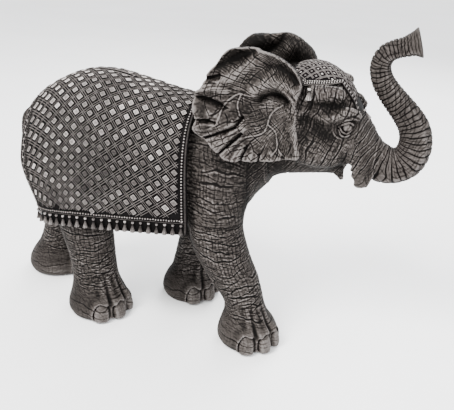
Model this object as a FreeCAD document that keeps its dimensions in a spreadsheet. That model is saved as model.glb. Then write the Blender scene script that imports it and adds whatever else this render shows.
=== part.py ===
import FreeCAD, Part
import math
import os

import Sketcher

# A figural coin bank: a hollow cast elephant that stands on its four feet with its trunk
# raised, wearing a studded blanket and a forehead cap. Coins drop through a slot in the
# middle of the back into the hollow torso, and come out through a hole in the belly that a
# rubber stopper closes.
#
# Units are millimetres. +X runs from tail to trunk, +Y is the animal's left and +Z is up.
# The origin is on the ground, under the centre of the whole bank's bounding box.
#
# The castings are bonded together: torso, head, trunk, ears, tail, four legs, blanket with
# its row of tassels, and cap with its three tassels. Pegs locate the legs, head and ears.

DIMENSIONS = {
    # castings
    "wall": 6.0,
    "bond_gap": 0.12,
    # torso
    "rump_x": -232.0,
    "neck_x": 68.0,
    "back_top": 292.0,
    "belly_bottom": 116.0,
    "torso_half_width": 69.0,
    # blanket
    "blanket_rear_x": -213.0,
    "blanket_front_x": 4.0,
    "blanket_thickness": 5.0,
    "blanket_half_width": 79.0,
    "blanket_top": 299.0,
    "hem_rear_z": 121.0,
    "hem_front_z": 139.0,
    "hem_rear_cutback": 22.0,
    "hem_front_reach": 6.0,
    # coin slot, along the spine
    "slot_x": -110.0,
    "slot_length": 46.0,
    "slot_width": 5.0,
    "seat_half_width": 18.0,
    # stopper in the belly
    "stopper_x": -64.0,
    "boss_radius": 27.0,
    "boss_bottom": 113.0,
    "boss_top": 129.0,
    "bore_radius": 18.0,
    "plug_clearance": 0.1,
    "plug_length": 14.0,
    "plug_taper": 1.2,
    "flange_radius": 23.0,
    "flange_thickness": 3.0,
    "tab_radius": 6.0,
    "tab_length": 7.0,
    # legs and feet
    "shoulder_x": 31.0,
    "hip_x": -162.0,
    "right_front_foot_x": 82.0,
    "right_rear_foot_x": -113.0,
    "left_front_foot_x": -20.0,
    "left_rear_foot_x": -218.0,
    "foot_spread": 41.0,
    "leg_top_spread": 35.0,
    "front_foot_radius": 37.0,
    "rear_foot_radius": 39.0,
    "pad_radius": 31.0,
    "pad_thickness": 2.0,
    "peg_radius": 10.0,
    "rear_peg_top": 150.0,
    "front_peg_top": 172.0,
    # head
    "head_top": 331.0,
    "head_half_width": 50.0,
    "head_end_x": 192.0,
    "head_peg_radius": 16.0,
    "head_peg_z": 240.0,
    "cap_thickness": 3.0,
    # trunk
    "trunk_base_radius": 27.5,
    # tail
    "tail_tuft_radius": 6.2,
    # ears
    "ear_root_x": 112.0,
    "ear_root_y": 46.0,
    "ear_curve_radius": 176.0,
    "ear_thickness": 6.0,
    "ear_peg_height": 26.0,
    # tassels
    "tassel_count": 21.0,
    "tassel_height": 12.0,
    "tassel_radius": 2.9,
}

# The torso's and the blanket's cross-sections: how far along the body (0 at the rump, 1 at
# the neck), then the top, bottom and half width as shares of the largest section.
TORSO_SECTIONS = (
    (0.000, 0.55, 0.48, 0.08),
    (0.040, 0.63, 0.30, 0.40),
    (0.097, 0.75, 0.14, 0.70),
    (0.190, 0.875, 0.04, 0.90),
    (0.307, 0.965, 0.00, 0.99),
    (0.407, 0.985, 0.00, 1.00),
    (0.573, 0.92, 0.00, 1.00),
    (0.707, 0.875, 0.01, 0.92),
    (0.807, 0.87, 0.04, 0.82),
    (0.907, 0.91, 0.15, 0.69),
    (1.000, 0.96, 0.41, 0.53),
)
BLANKET_SECTIONS = (
    (0.000, 0.833, 0.64),
    (0.060, 0.886, 0.80),
    (0.175, 0.943, 0.94),
    (0.336, 0.990, 0.99),
    (0.475, 0.993, 1.00),
    (0.705, 0.967, 1.00),
    (0.889, 0.943, 0.97),
    (1.000, 0.936, 0.94),
)
# The head, from the neck joint to the trunk joint: share of the length, then the top and
# bottom as heights in share of head_top, and the half width as a share of the largest.
HEAD_SECTIONS = (
    (0.00, 0.885, 0.562, 0.69),
    (0.14, 0.925, 0.577, 0.84),
    (0.30, 0.981, 0.598, 0.96),
    (0.46, 1.000, 0.613, 1.00),
    (0.62, 0.985, 0.625, 0.96),
    (0.76, 0.940, 0.634, 0.86),
    (0.88, 0.882, 0.640, 0.72),
    (1.00, 0.804, 0.637, 0.54),
)
# Each leg: height, share of the foot radius, and how far the centre has moved from the foot
# to the shoulder or hip (0 over the foot, 1 under the joint).
FRONT_LEG = (
    (0.00, 0.92, 0.00), (0.05, 1.00, 0.00), (0.12, 0.89, 0.03), (0.19, 0.66, 0.07),
    (0.25, 0.60, 0.13), (0.34, 0.67, 0.32), (0.45, 0.74, 0.58), (0.60, 0.76, 0.90),
    (0.76, 0.76, 1.00), (0.92, 0.68, 1.00), (1.00, 0.42, 1.00),
)
REAR_LEG = (
    (0.00, 0.92, 0.00), (0.05, 1.00, 0.00), (0.12, 0.90, 0.02), (0.20, 0.72, 0.08),
    (0.28, 0.67, 0.18), (0.37, 0.69, 0.34), (0.48, 0.70, 0.60), (0.60, 0.70, 0.82),
    (0.78, 0.70, 1.00), (0.92, 0.62, 1.00), (1.00, 0.40, 1.00),
)
LEG_TOP_Z = 212.0
# The trunk's and the tail's centre lines in the XZ plane: x, z, and the radius as a share of
# the trunk's at its base or of the tail's at its tuft.
TRUNK_PATH = (
    (192.0, 238.0, 1.000), (206.0, 231.0, 0.836), (220.0, 228.0, 0.727), (231.0, 233.0, 0.691),
    (238.0, 243.0, 0.647), (241.0, 256.0, 0.600), (238.0, 270.0, 0.575), (229.0, 284.0, 0.538),
    (217.0, 296.0, 0.484), (204.0, 309.0, 0.429), (195.0, 322.0, 0.393), (193.0, 335.0, 0.371),
    (199.0, 346.0, 0.356), (209.0, 353.0, 0.349), (219.0, 357.0, 0.393), (227.5, 361.0, 0.545),
)
TAIL_PATH = (
    (-219.0, 234.0, 0.97), (-228.0, 227.0, 0.90), (-233.0, 202.0, 0.76), (-229.5, 170.0, 0.65),
    (-226.0, 148.0, 0.81), (-222.0, 128.0, 1.00), (-218.0, 109.0, 0.32),
)
# The ear's outline in the XZ plane, counter-clockwise from the top of its root.
EAR_OUTLINE = (
    (120.0, 321.0), (112.0, 334.0), (96.0, 344.0), (66.0, 348.0), (38.0, 344.0),
    (22.0, 326.0), (12.0, 304.0), (8.0, 280.0), (13.0, 256.0), (26.0, 242.0),
    (42.0, 229.0), (76.0, 230.0), (108.0, 236.0), (122.0, 246.0), (119.0, 284.0),
)

CAP_TASSELS = ((124.0, -49.5, 299.0), (124.0, 49.5, 299.0), (191.8, 0.0, 275.5))

SECTION_POINTS = 16
OUT_DIR = "parts"

doc = FreeCAD.newDocument("elephant_coin_bank")


# ---------------------------------------------------------------- sheet and helpers
def make_sheet():
    """The spreadsheet that holds every driving dimension, one aliased cell each."""
    sheet = doc.addObject("Spreadsheet::Sheet", "Dims")
    for row, (alias, value) in enumerate(DIMENSIONS.items(), start=1):
        sheet.set(f"A{row}", alias)
        sheet.set(f"B{row}", str(value))
        sheet.setAlias(f"B{row}", alias)
    doc.recompute()
    return sheet


sheet = make_sheet()


def dim(alias):
    return float(sheet.get(alias))


def bind(obj, **expressions):
    """Ties properties of obj to expressions on the sheet: a__b stands for a.b."""
    for name, expression in expressions.items():
        obj.setExpression(name.replace("__", "."), str(expression))
    return obj


def feature(name, shape):
    """A Part::Feature for a shape that neither PartDesign nor a Part primitive can make."""
    obj = doc.addObject("Part::Feature", name)
    obj.Shape = shape
    return obj


def box(name, length, width, height, x, y, z):
    obj = doc.addObject("Part::Box", name)
    return bind(obj, Length=length, Width=width, Height=height,
                Placement__Base__x=x, Placement__Base__y=y, Placement__Base__z=z)


def cylinder(name, radius, height, x, y, z):
    obj = doc.addObject("Part::Cylinder", name)
    return bind(obj, Radius=radius, Height=height,
                Placement__Base__x=x, Placement__Base__y=y, Placement__Base__z=z)


def cone(name, radius_low, radius_high, height, base, tilt):
    """A cone frustum whose axis tilts from +Z towards +X by tilt degrees."""
    obj = doc.addObject("Part::Cone", name)
    bind(obj, Radius1=radius_low, Radius2=radius_high, Height=height)
    turn = FreeCAD.Rotation(FreeCAD.Vector(0, 1, 0), tilt)
    obj.Placement = FreeCAD.Placement(FreeCAD.Vector(*base), turn)
    return obj


def cut(name, base, tool):
    obj = doc.addObject("Part::Cut", name)
    obj.Base = base
    obj.Tool = tool
    return obj


def common(name, base, tool):
    obj = doc.addObject("Part::Common", name)
    obj.Base = base
    obj.Tool = tool
    return obj


def fuse(name, *shapes):
    obj = doc.addObject("Part::MultiFuse", name)
    obj.Shapes = list(shapes)
    return obj


# ---------------------------------------------------------------- lofted body shapes
def section_wire(x, top, bottom, half_width, squareness):
    """A closed superellipse across the X axis: squareness 2 is an ellipse."""
    centre = (top + bottom) / 2
    half_height = (top - bottom) / 2
    points = []
    for i in range(SECTION_POINTS):
        angle = 2 * math.pi * (i + 0.5) / SECTION_POINTS
        c, s = math.cos(angle), math.sin(angle)
        y = math.copysign(abs(c) ** (2 / squareness), c) * half_width
        z = math.copysign(abs(s) ** (2 / squareness), s) * half_height
        points.append(FreeCAD.Vector(x, y, centre + z))
    curve = Part.BSplineCurve()
    curve.interpolate(points, PeriodicFlag=True)
    return Part.Wire([curve.toShape()])


def body_loft(sections, squareness, inset=0.0):
    """A solid through (x, top, bottom, half width) sections, shrunk by inset on all sides."""
    first, last = sections[0][0], sections[-1][0]
    wires = []
    for x, top, bottom, half_width in sections:
        share = (x - first) / (last - first)
        moved = x + inset * (1 - 2 * share)
        wires.append(section_wire(moved, top - inset, bottom + inset,
                                  max(half_width - inset, 1.0), squareness))
    return Part.makeLoft(wires, True, False)


def torso_sections():
    length = dim("neck_x") - dim("rump_x")
    height = dim("back_top") - dim("belly_bottom")
    return [(dim("rump_x") + along * length,
             dim("belly_bottom") + top * height,
             dim("belly_bottom") + bottom * height,
             wide * dim("torso_half_width"))
            for along, top, bottom, wide in TORSO_SECTIONS]


def blanket_sections():
    """The blanket's loft runs far below the hem, so that its sides hang nearly straight."""
    length = dim("blanket_front_x") - dim("blanket_rear_x")
    height = dim("blanket_top")
    overrun = 8.0
    sections = [(dim("blanket_rear_x") + along * length,
                 top * height, 0.03 * height, wide * dim("blanket_half_width"))
                for along, top, wide in BLANKET_SECTIONS]
    x, top, bottom, wide = sections[0]
    sections[0] = (x - overrun / 2, top - 0.75 * overrun, bottom, wide - overrun / 2)
    x, top, bottom, wide = sections[-1]
    sections[-1] = (x + overrun, top, bottom, wide)
    return sections


def head_sections():
    length = dim("head_end_x") - dim("neck_x")
    return [(dim("neck_x") + along * length, top * dim("head_top"), bottom * dim("head_top"),
             wide * dim("head_half_width"))
            for along, top, bottom, wide in HEAD_SECTIONS]


TORSO_SQUARENESS = 2.0
BLANKET_SQUARENESS = 2.6
HEAD_SQUARENESS = 2.2
EAR_GAP = 0.35


# ---------------------------------------------------------------- limbs along a path
def circle(name, radius, centre, direction):
    """A Part::Circle whose normal is direction; radius is an expression on the sheet."""
    obj = doc.addObject("Part::Circle", name)
    bind(obj, Radius=radius)
    turn = FreeCAD.Rotation(FreeCAD.Vector(0, 0, 1), FreeCAD.Vector(*direction))
    obj.Placement = FreeCAD.Placement(FreeCAD.Vector(*centre), turn)
    return obj


def loft(name, sections):
    obj = doc.addObject("Part::Loft", name)
    obj.Sections = sections
    obj.Solid = True
    obj.Ruled = False
    return obj


def path_loft(name, path, radius, flat_ends):
    """A round limb through (x, z, share of radius) points in the XZ plane. Where flat_ends
    is true the first and last section stand square to the X axis."""
    rings = []
    last = len(path) - 1
    for i, (x, z, share) in enumerate(path):
        before, after = path[max(i - 1, 0)], path[min(i + 1, last)]
        direction = (after[0] - before[0], 0, after[1] - before[1])
        if flat_ends and i in (0, last):
            direction = (1, 0, 0)
        rings.append(circle(f"{name}_ring_{i}", f"{share} * Dims.{radius}", (x, 0, z), direction))
    return loft(name, rings)


def leg_loft(name, profile, foot_radius, foot_x, joint_x, side):
    """A leg from its sole to inside the torso; every ring is bound to the sheet."""
    rings = []
    for i, (height, share, shift) in enumerate(profile):
        ring = doc.addObject("Part::Circle", f"{name}_ring_{i}")
        lift = f"Dims.pad_thickness + {height} * ({LEG_TOP_Z} - Dims.pad_thickness)"
        spread = f"{side} * (Dims.foot_spread + {shift} * (Dims.leg_top_spread - Dims.foot_spread))"
        bind(ring, Radius=f"{share} * Dims.{foot_radius}",
             Placement__Base__x=f"Dims.{foot_x} + {shift} * (Dims.{joint_x} - Dims.{foot_x})",
             Placement__Base__y=spread, Placement__Base__z=lift)
        rings.append(ring)
    return loft(f"{name}_loft", rings)


# ---------------------------------------------------------------- sketched pieces
def plane_of(body, role):
    return next(p for p in body.Origin.OriginFeatures if p.Role == role)


def new_sketch(body, name, role):
    sketch = body.newObject("Sketcher::SketchObject", name)
    sketch.AttachmentSupport = [(plane_of(body, role), "")]
    sketch.MapMode = "FlatFace"
    return sketch


def polygon(sketch, corners):
    """A closed polygon whose corners are (x expression, y expression) on the sheet."""
    values = []
    for corner in corners:
        pair = []
        for text in corner:
            holder = sketch.evalExpression(str(text))
            pair.append(float(getattr(holder, "Value", holder)))
        values.append(FreeCAD.Vector(pair[0], pair[1], 0))
    count = len(values)
    for i, start in enumerate(values):
        sketch.addGeometry(Part.LineSegment(start, values[(i + 1) % count]), False)
    for i in range(count):
        sketch.addConstraint(Sketcher.Constraint("Coincident", i, 2, (i + 1) % count, 1))
    for i, (corner, value) in enumerate(zip(corners, values)):
        for kind, text, number in (("DistanceX", corner[0], value.x),
                                   ("DistanceY", corner[1], value.y)):
            index = sketch.addConstraint(Sketcher.Constraint(kind, -1, 1, i, 1, number))
            sketch.setExpression(f"Constraints[{index}]", str(text))


def padded_polygon(name, corners, depth):
    """A prism across the body: the polygon is in the XZ plane, and depth is along Y."""
    body = doc.addObject("PartDesign::Body", name)
    sketch = new_sketch(body, f"{name}_sketch", "XZ_Plane")
    polygon(sketch, corners)
    pad = body.newObject("PartDesign::Pad", f"{name}_pad")
    pad.Profile = sketch
    pad.setExpression("Length", str(depth))
    pad.Midplane = True
    doc.recompute()
    return body


def revolved(name, corners):
    """A PartDesign body turned about the vertical axis from a half profile in XZ."""
    body = doc.addObject("PartDesign::Body", name)
    sketch = new_sketch(body, f"{name}_sketch", "XZ_Plane")
    polygon(sketch, corners)
    turn = body.newObject("PartDesign::Revolution", f"{name}_turn")
    turn.Profile = sketch
    turn.ReferenceAxis = (sketch, ["V_Axis"])
    turn.Angle = 360
    doc.recompute()
    return body


# ---------------------------------------------------------------- the pieces
def coin_slot():
    return box("coin_slot_cutter", "Dims.slot_length", "Dims.slot_width", 60,
               "Dims.slot_x - Dims.slot_length / 2", "-Dims.slot_width / 2",
               "Dims.back_top - 30")


def make_torso(torso_outer, slot):
    """The hollow torso casting, with the coin slot, the stopper's bore and the peg holes."""
    hollow = feature("torso_hollow", body_loft(torso_sections(), TORSO_SQUARENESS, dim("wall")))
    shell = cut("torso_wall", torso_outer, hollow)
    boss = cylinder("stopper_boss", "Dims.boss_radius", "Dims.boss_top - Dims.boss_bottom",
                    "Dims.stopper_x", 0, "Dims.boss_bottom")
    bore = cylinder("stopper_bore", "Dims.bore_radius", 60, "Dims.stopper_x", 0,
                    "Dims.boss_bottom - 20")
    neck_hole = cylinder("neck_hole", "Dims.head_peg_radius + Dims.bond_gap",
                         "3 * Dims.wall", "Dims.neck_x - 2 * Dims.wall", 0, "Dims.head_peg_z")
    neck_hole.Placement.Rotation = FreeCAD.Rotation(FreeCAD.Vector(0, 1, 0), 90)
    holes = [slot, bore, neck_hole]
    for joint, side_name, side, top in LEG_JOINTS:
        holes.append(cylinder(f"{joint}_{side_name}_peg_hole",
                              "Dims.peg_radius + Dims.bond_gap", 60, f"Dims.{joint}",
                              f"{side} * Dims.leg_top_spread", f"Dims.{top} - 59"))
    body = fuse("torso_with_boss", shell, boss)
    return cut("torso_shell", body, fuse("torso_holes", *holes))


LEG_JOINTS = (
    ("shoulder_x", "right", -1, "front_peg_top"),
    ("shoulder_x", "left", 1, "front_peg_top"),
    ("hip_x", "right", -1, "rear_peg_top"),
    ("hip_x", "left", 1, "rear_peg_top"),
)


def make_leg(name, side_name, side, is_front, torso_outer):
    """One leg casting: its top is trimmed to the torso, and a peg goes through the wall."""
    profile = FRONT_LEG if is_front else REAR_LEG
    radius = "front_foot_radius" if is_front else "rear_foot_radius"
    joint = "shoulder_x" if is_front else "hip_x"
    peg_top = "front_peg_top" if is_front else "rear_peg_top"
    end = "front" if is_front else "rear"
    raw = leg_loft(name, profile, radius, f"{side_name}_{end}_foot_x", joint, side)
    trimmed = cut(f"{name}_trimmed", raw, torso_outer)
    peg = cylinder(f"{name}_peg", "Dims.peg_radius", 36, f"Dims.{joint}",
                   f"{side} * Dims.leg_top_spread", f"Dims.{peg_top} - 36")
    return fuse(name, trimmed, peg)


def make_blanket(slot, torso_outer):
    """The blanket shell, with a solid seat along the spine that is bonded to the back."""
    sections = blanket_sections()
    outer = feature("blanket_outer", body_loft(sections, BLANKET_SQUARENESS))
    thinner = [(x, top - dim("blanket_thickness"), bottom, wide - dim("blanket_thickness"))
               for x, top, bottom, wide in sections]
    inner = feature("blanket_inner", body_loft(thinner, BLANKET_SQUARENESS))
    corners = (("Dims.blanket_rear_x + Dims.hem_rear_cutback", "Dims.hem_rear_z"),
               ("Dims.blanket_front_x + Dims.hem_front_reach", "Dims.hem_front_z"),
               ("Dims.blanket_front_x", "Dims.blanket_top + 20"),
               ("Dims.blanket_rear_x", "Dims.blanket_top + 20"))
    region = padded_polygon("blanket_region", corners, 200)
    layer = cut("blanket_layer", outer, inner)
    trimmed = common("blanket_trimmed", layer, region)
    spine = box("spine_box", 150, "2 * Dims.seat_half_width", 60, "Dims.slot_x - 75",
                "-Dims.seat_half_width", "Dims.back_top - 35")
    seat_block = common("seat_block", outer, spine)
    seat = cut("seat", seat_block, torso_outer)
    blanket = cut("blanket", fuse("blanket_on_seat", trimmed, seat), slot)
    return blanket, outer


def width_at(shape, x, z):
    """The distance from the middle plane to the shape's side, level with (x, z)."""
    beyond = 120.0
    probe = Part.makeLine(FreeCAD.Vector(x, 0, z), FreeCAD.Vector(x, beyond, z))
    return max(v.Y for v in shape.common(probe).Vertexes if v.Y < beyond - 1)


def make_tassels(blanket_outer):
    """One tassel turned as a bead over a bell, repeated along both sides of the hem."""
    height, radius = "Dims.tassel_height", "Dims.tassel_radius"
    corners = ((0, 0), (radius, 0), (f"{radius} * 0.95", f"{height} * 0.12"),
               (f"{radius} * 0.45", f"{height} * 0.62"), (f"{radius} * 0.35", f"{height} * 0.68"),
               (f"{radius} * 0.72", f"{height} * 0.78"), (f"{radius} * 0.72", f"{height} * 0.90"),
               (f"{radius} * 0.30", height), (0, height))
    pattern = revolved("tassel_pattern", corners)
    count = int(dim("tassel_count"))
    rear = dim("blanket_rear_x") + dim("hem_rear_cutback")
    front = dim("blanket_front_x") + dim("hem_front_reach")
    margin, lift, stand_off = 5.0, 1.0, 0.15
    copies = []
    for i in range(count):
        share = i / (count - 1)
        x = rear + margin + share * (front - rear - 2 * margin)
        z = dim("hem_rear_z") + (x - rear) / (front - rear) * (dim("hem_front_z") - dim("hem_rear_z"))
        reach = [width_at(blanket_outer.Shape, x + along * dim("tassel_radius"),
                          z + lift + share_up * dim("tassel_height"))
                 for along in (-0.8, 0.0, 0.8) for share_up in (0.0, 0.4, 0.8)]
        offset = max(reach) + dim("tassel_radius") + stand_off
        for side in (-1, 1):
            tassel = pattern.Shape.copy()
            tassel.translate(FreeCAD.Vector(x, side * offset, z + lift))
            copies.append(tassel)
    return feature("blanket_tassels", Part.makeCompound(copies))


def make_head():
    """The hollow head casting, with the jaw and the two lip sheaths under the trunk."""
    outer = feature("head_outer", body_loft(head_sections(), HEAD_SQUARENESS))
    hollow = feature("head_hollow", body_loft(head_sections(), HEAD_SQUARENESS, dim("wall")))
    jaw = cone("jaw", 15, 5, 34, (140, 0, 212), 112)
    sheaths = []
    for side_name, side in (("right", -1), ("left", 1)):
        sheaths.append(cone(f"lip_sheath_{side_name}", 13, 10, 36, (176, side * 16, 236), 158))
    peg = cylinder("head_peg", "Dims.head_peg_radius", "Dims.wall + 4",
                   "Dims.neck_x - Dims.wall", 0, "Dims.head_peg_z")
    peg.Placement.Rotation = FreeCAD.Rotation(FreeCAD.Vector(0, 1, 0), 90)
    skin = fuse("head_skin", outer, jaw, *sheaths)
    wall = cut("head_wall", skin, hollow)
    slots = []
    for side_name, side in (("right", -1), ("left", 1)):
        slots.append(ear_peg(f"ear_slot_{side_name}", side, "2 * Dims.bond_gap"))
    with_peg = fuse("head_with_peg", wall, peg)
    head = cut("head", with_peg, fuse("ear_slots", *slots))
    return head, outer, sheaths


def ear_peg(name, side, growth):
    """The tab that plugs an ear into the head's side, or with growth, its slot."""
    depth = "(Dims.ear_root_y + 3 - 36)"
    low = f"36 - ({growth})" if side > 0 else "-(Dims.ear_root_y + 3)"
    return box(name, f"Dims.ear_thickness + {growth}", f"{depth} + {growth}",
               f"Dims.ear_peg_height + {growth}",
               f"Dims.ear_root_x - Dims.ear_thickness / 2 - ({growth}) / 2", low,
               f"270 - ({growth}) / 2")


def make_ears():
    """The cupped right ear, its outline cut from a curved sheet, and its mirror image."""
    body = doc.addObject("PartDesign::Body", "ear_outline")
    sketch = new_sketch(body, "ear_sketch", "XZ_Plane")
    curve = Part.BSplineCurve()
    curve.interpolate([FreeCAD.Vector(x, z, 0) for x, z in EAR_OUTLINE], PeriodicFlag=True)
    sketch.addGeometry(curve, False)
    pad = body.newObject("PartDesign::Pad", "ear_pad")
    pad.Profile = sketch
    pad.Length = 200
    pad.Midplane = True
    doc.recompute()
    axis_y = "-(Dims.ear_root_y + Dims.ear_curve_radius)"
    outside = cylinder("ear_sheet_outside", "Dims.ear_curve_radius + Dims.ear_thickness / 2",
                       200, "Dims.ear_root_x", axis_y, 200)
    inside = cylinder("ear_sheet_inside", "Dims.ear_curve_radius - Dims.ear_thickness / 2",
                      200, "Dims.ear_root_x", axis_y, 200)
    near_half = box("ear_near_half", 200, 110, 200, -20, -110, 200)
    sheet_half = common("ear_sheet", cut("ear_tube", outside, inside), near_half)
    plate = common("ear_plate", sheet_half, body)
    head_room = feature("head_room", body_loft(head_sections(), HEAD_SQUARENESS, -EAR_GAP))
    trimmed = cut("ear_trimmed", plate, head_room)
    right = fuse("ear_right", trimmed, ear_peg("ear_tab", -1, "0"))
    left = doc.addObject("Part::Mirroring", "ear_left")
    left.Source = right
    left.Normal = FreeCAD.Vector(0, 1, 0)
    return [right, left]


def make_cap(head_outer):
    """The forehead cap: a thin layer over the top of the head, pointed at the front."""
    grown = feature("cap_outer", body_loft(head_sections(), HEAD_SQUARENESS, -dim("cap_thickness")))
    layer = cut("cap_layer", grown, head_outer)
    corners = ((104, 350), (106, 318), (122, 313), (157, 313), (182, 284), (190, 292), (160, 350))
    region = padded_polygon("cap_region", corners, 120)
    return common("forehead_cap", layer, region)


def make_cap_tassels():
    """Tassels that hang from the cap's two rear corners and from its point."""
    pattern = doc.getObject("tassel_pattern").Shape
    copies = []
    for x, y, z in CAP_TASSELS:
        tassel = pattern.copy()
        tassel.translate(FreeCAD.Vector(x, y, z))
        copies.append(tassel)
    return feature("cap_tassels", Part.makeCompound(copies))


def make_stopper():
    """The tapered rubber plug with its flange under the belly and a round pull tab."""
    plug = "(Dims.bore_radius - Dims.plug_clearance)"
    seat = "(Dims.boss_bottom - 0.05)"
    low = f"({seat} - Dims.flange_thickness)"
    corners = ((0, f"{low} - Dims.tab_length"), ("Dims.tab_radius", f"{low} - Dims.tab_length"),
               ("Dims.tab_radius", low), ("Dims.flange_radius", low),
               ("Dims.flange_radius", seat), (plug, seat),
               (f"{plug} - Dims.plug_taper", f"{seat} + Dims.plug_length"),
               (0, f"{seat} + Dims.plug_length"))
    body = revolved("stopper", corners)
    bind(body, Placement__Base__x="Dims.stopper_x")
    return body


def make_foot_pads():
    """Four felt discs, one glued under each foot."""
    pads = []
    for side_name, side in (("right", -1), ("left", 1)):
        for end in ("front", "rear"):
            pads.append(cylinder(f"pad_{end}_{side_name}", "Dims.pad_radius",
                                 "Dims.pad_thickness", f"Dims.{side_name}_{end}_foot_x",
                                 f"{side} * Dims.foot_spread", 0))
    group = doc.addObject("Part::Compound", "foot_pads")
    group.Links = pads
    return group


def build():
    """Makes every piece and returns the ones that are written, by node name."""
    torso_outer = feature("torso_outer", body_loft(torso_sections(), TORSO_SQUARENESS))
    slot = coin_slot()
    blanket, blanket_outer = make_blanket(slot, torso_outer)
    doc.recompute()
    torso = make_torso(torso_outer, slot)
    pieces = [torso, blanket]
    for side_name, side in (("right", -1), ("left", 1)):
        for end in ("front", "rear"):
            pieces.append(make_leg(f"leg_{end}_{side_name}", side_name, side, end == "front",
                                   torso_outer))
    pieces.append(make_tassels(blanket_outer))
    head, head_outer, sheaths = make_head()
    pieces.append(head)
    pieces += make_ears()
    trunk_raw = path_loft("trunk_loft", TRUNK_PATH, "trunk_base_radius", flat_ends=True)
    pieces.append(cut("trunk", trunk_raw, fuse("lip_sheaths", *sheaths)))
    tail_raw = path_loft("tail_loft", TAIL_PATH, "tail_tuft_radius", flat_ends=False)
    pieces.append(cut("tail", tail_raw, torso_outer))
    pieces.append(make_cap(head_outer))
    pieces.append(make_cap_tassels())
    pieces.append(make_stopper())
    pieces.append(make_foot_pads())
    doc.recompute()
    return pieces


def check(pieces):
    """Stops the build if any object failed or any piece isn't a valid closed solid."""
    for obj in doc.Objects:
        if "Invalid" in obj.State or "Error" in obj.State:
            raise RuntimeError(f"{obj.Name} failed: {obj.State}")
    for piece in pieces:
        shape = piece.Shape
        if shape.isNull() or not shape.isValid() or not shape.Solids:
            raise RuntimeError(f"{piece.Name} isn't a valid solid")


def write(pieces):
    os.makedirs(OUT_DIR, exist_ok=True)
    for piece in pieces:
        piece.Label = piece.Name
        piece.Shape.exportStep(os.path.join(OUT_DIR, f"{piece.Name}.step"))


pieces = build()
check(pieces)
write(pieces)
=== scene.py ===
import math

import bpy
import numpy as np
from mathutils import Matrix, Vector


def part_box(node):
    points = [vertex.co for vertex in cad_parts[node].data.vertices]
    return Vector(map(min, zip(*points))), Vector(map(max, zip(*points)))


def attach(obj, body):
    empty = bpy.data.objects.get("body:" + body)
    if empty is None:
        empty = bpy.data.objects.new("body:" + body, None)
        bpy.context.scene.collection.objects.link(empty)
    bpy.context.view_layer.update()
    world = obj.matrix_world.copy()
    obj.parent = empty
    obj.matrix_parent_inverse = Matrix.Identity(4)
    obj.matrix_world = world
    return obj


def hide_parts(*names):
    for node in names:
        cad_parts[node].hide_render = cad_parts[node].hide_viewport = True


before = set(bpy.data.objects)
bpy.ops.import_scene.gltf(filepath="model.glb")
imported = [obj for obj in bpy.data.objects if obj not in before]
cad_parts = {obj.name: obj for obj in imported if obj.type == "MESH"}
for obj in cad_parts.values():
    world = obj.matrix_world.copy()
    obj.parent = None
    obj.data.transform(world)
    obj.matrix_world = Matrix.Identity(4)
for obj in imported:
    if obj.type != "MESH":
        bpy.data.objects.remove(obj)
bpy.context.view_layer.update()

import openvdb
from mathutils import Matrix, Vector

# The looks of the elephant coin bank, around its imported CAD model. All lengths are in
# millimetres until a mesh is made. +X is towards the trunk, +Y is the animal's left.

MM = 0.001
FIGURE, STOPPER = "figure", "stopper"
VOXEL = 0.9
FINE_VOXEL = 0.75
SEED = 11


def cad_box(node):
    """The lowest and highest corner of a CAD node, in millimetres."""
    low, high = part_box(node)
    return np.array(low) / MM, np.array(high) / MM


# ---------------------------------------------------------------- curves and noise
def smooth(xs, ys, at):
    """A cubic curve through (xs, ys), whose slope at each point follows its neighbours."""
    xs, ys, at = np.asarray(xs, float), np.asarray(ys, float), np.asarray(at, float)
    slope = np.gradient(ys, xs)
    i = np.clip(np.searchsorted(xs, at) - 1, 0, len(xs) - 2)
    width = xs[i + 1] - xs[i]
    t = np.clip((at - xs[i]) / width, 0, 1)
    rise = t * t * (3 - 2 * t)
    bend_in, bend_out = t * (1 - t) ** 2 * width, t * t * (t - 1) * width
    return ys[i] + (ys[i + 1] - ys[i]) * rise + slope[i] * bend_in + slope[i + 1] * bend_out


def unit(vectors):
    return vectors / np.linalg.norm(vectors, axis=-1, keepdims=True)


def full_turn(count):
    """Angles evenly spaced round a circle, starting at 0."""
    return np.linspace(0, 2 * math.pi, count, endpoint=False)


def circle(count, first, second):
    """Unit vectors evenly spaced round a circle that starts at first and goes by second."""
    turn = full_turn(count)
    return np.cos(turn)[:, None] * first + np.sin(turn)[:, None] * second


def travelled(points):
    """How far along the path through the points each of them lies."""
    return np.r_[0, np.cumsum(np.linalg.norm(np.diff(points[:, :3], axis=0), axis=1))]


def smooth_path(points, count):
    """count points on a smooth curve through the given ones, evenly spaced along it."""
    points = np.asarray(points, float)
    along = travelled(points)
    at = np.linspace(0, along[-1], count)
    return np.stack([smooth(along, column, at) for column in points.T], axis=1)


def step(low, high, value):
    """From 0 at low to 1 at high, level at both ends."""
    t = np.clip((value - low) / (high - low), 0, 1)
    return t * t * (3 - 2 * t)


NOISE_CELLS = 32
RANDOM = np.random.default_rng(SEED).random((NOISE_CELLS,) * 3).astype(np.float32)


def noise(points, cell, seed=0.0):
    """Smooth noise from 0 to 1 at points, with cells of the given size in millimetres."""
    p = points / np.asarray(cell, float) + seed * 7.31
    low = np.floor(p).astype(int)
    f = p - low
    f = f * f * (3 - 2 * f)
    total = np.zeros(len(points))
    for corner in np.ndindex(2, 2, 2):
        i, j, k = ((low + corner) % NOISE_CELLS).T
        weight = np.prod(np.where(corner, f, 1 - f), axis=1)
        total += weight * RANDOM[i, j, k]
    return total


def lines(points, cell, width, seed=0.0):
    """Thin wandering lines, 1 on a line: width is their half width in share of a cell."""
    return 1 - step(0, width, np.abs(noise(points, cell, seed) - 0.5))


# ---------------------------------------------------------------- clay
# The value of empty clay, and the largest value that its surface is made from.
FAR, NEAR = 20.0, 5.0


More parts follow.
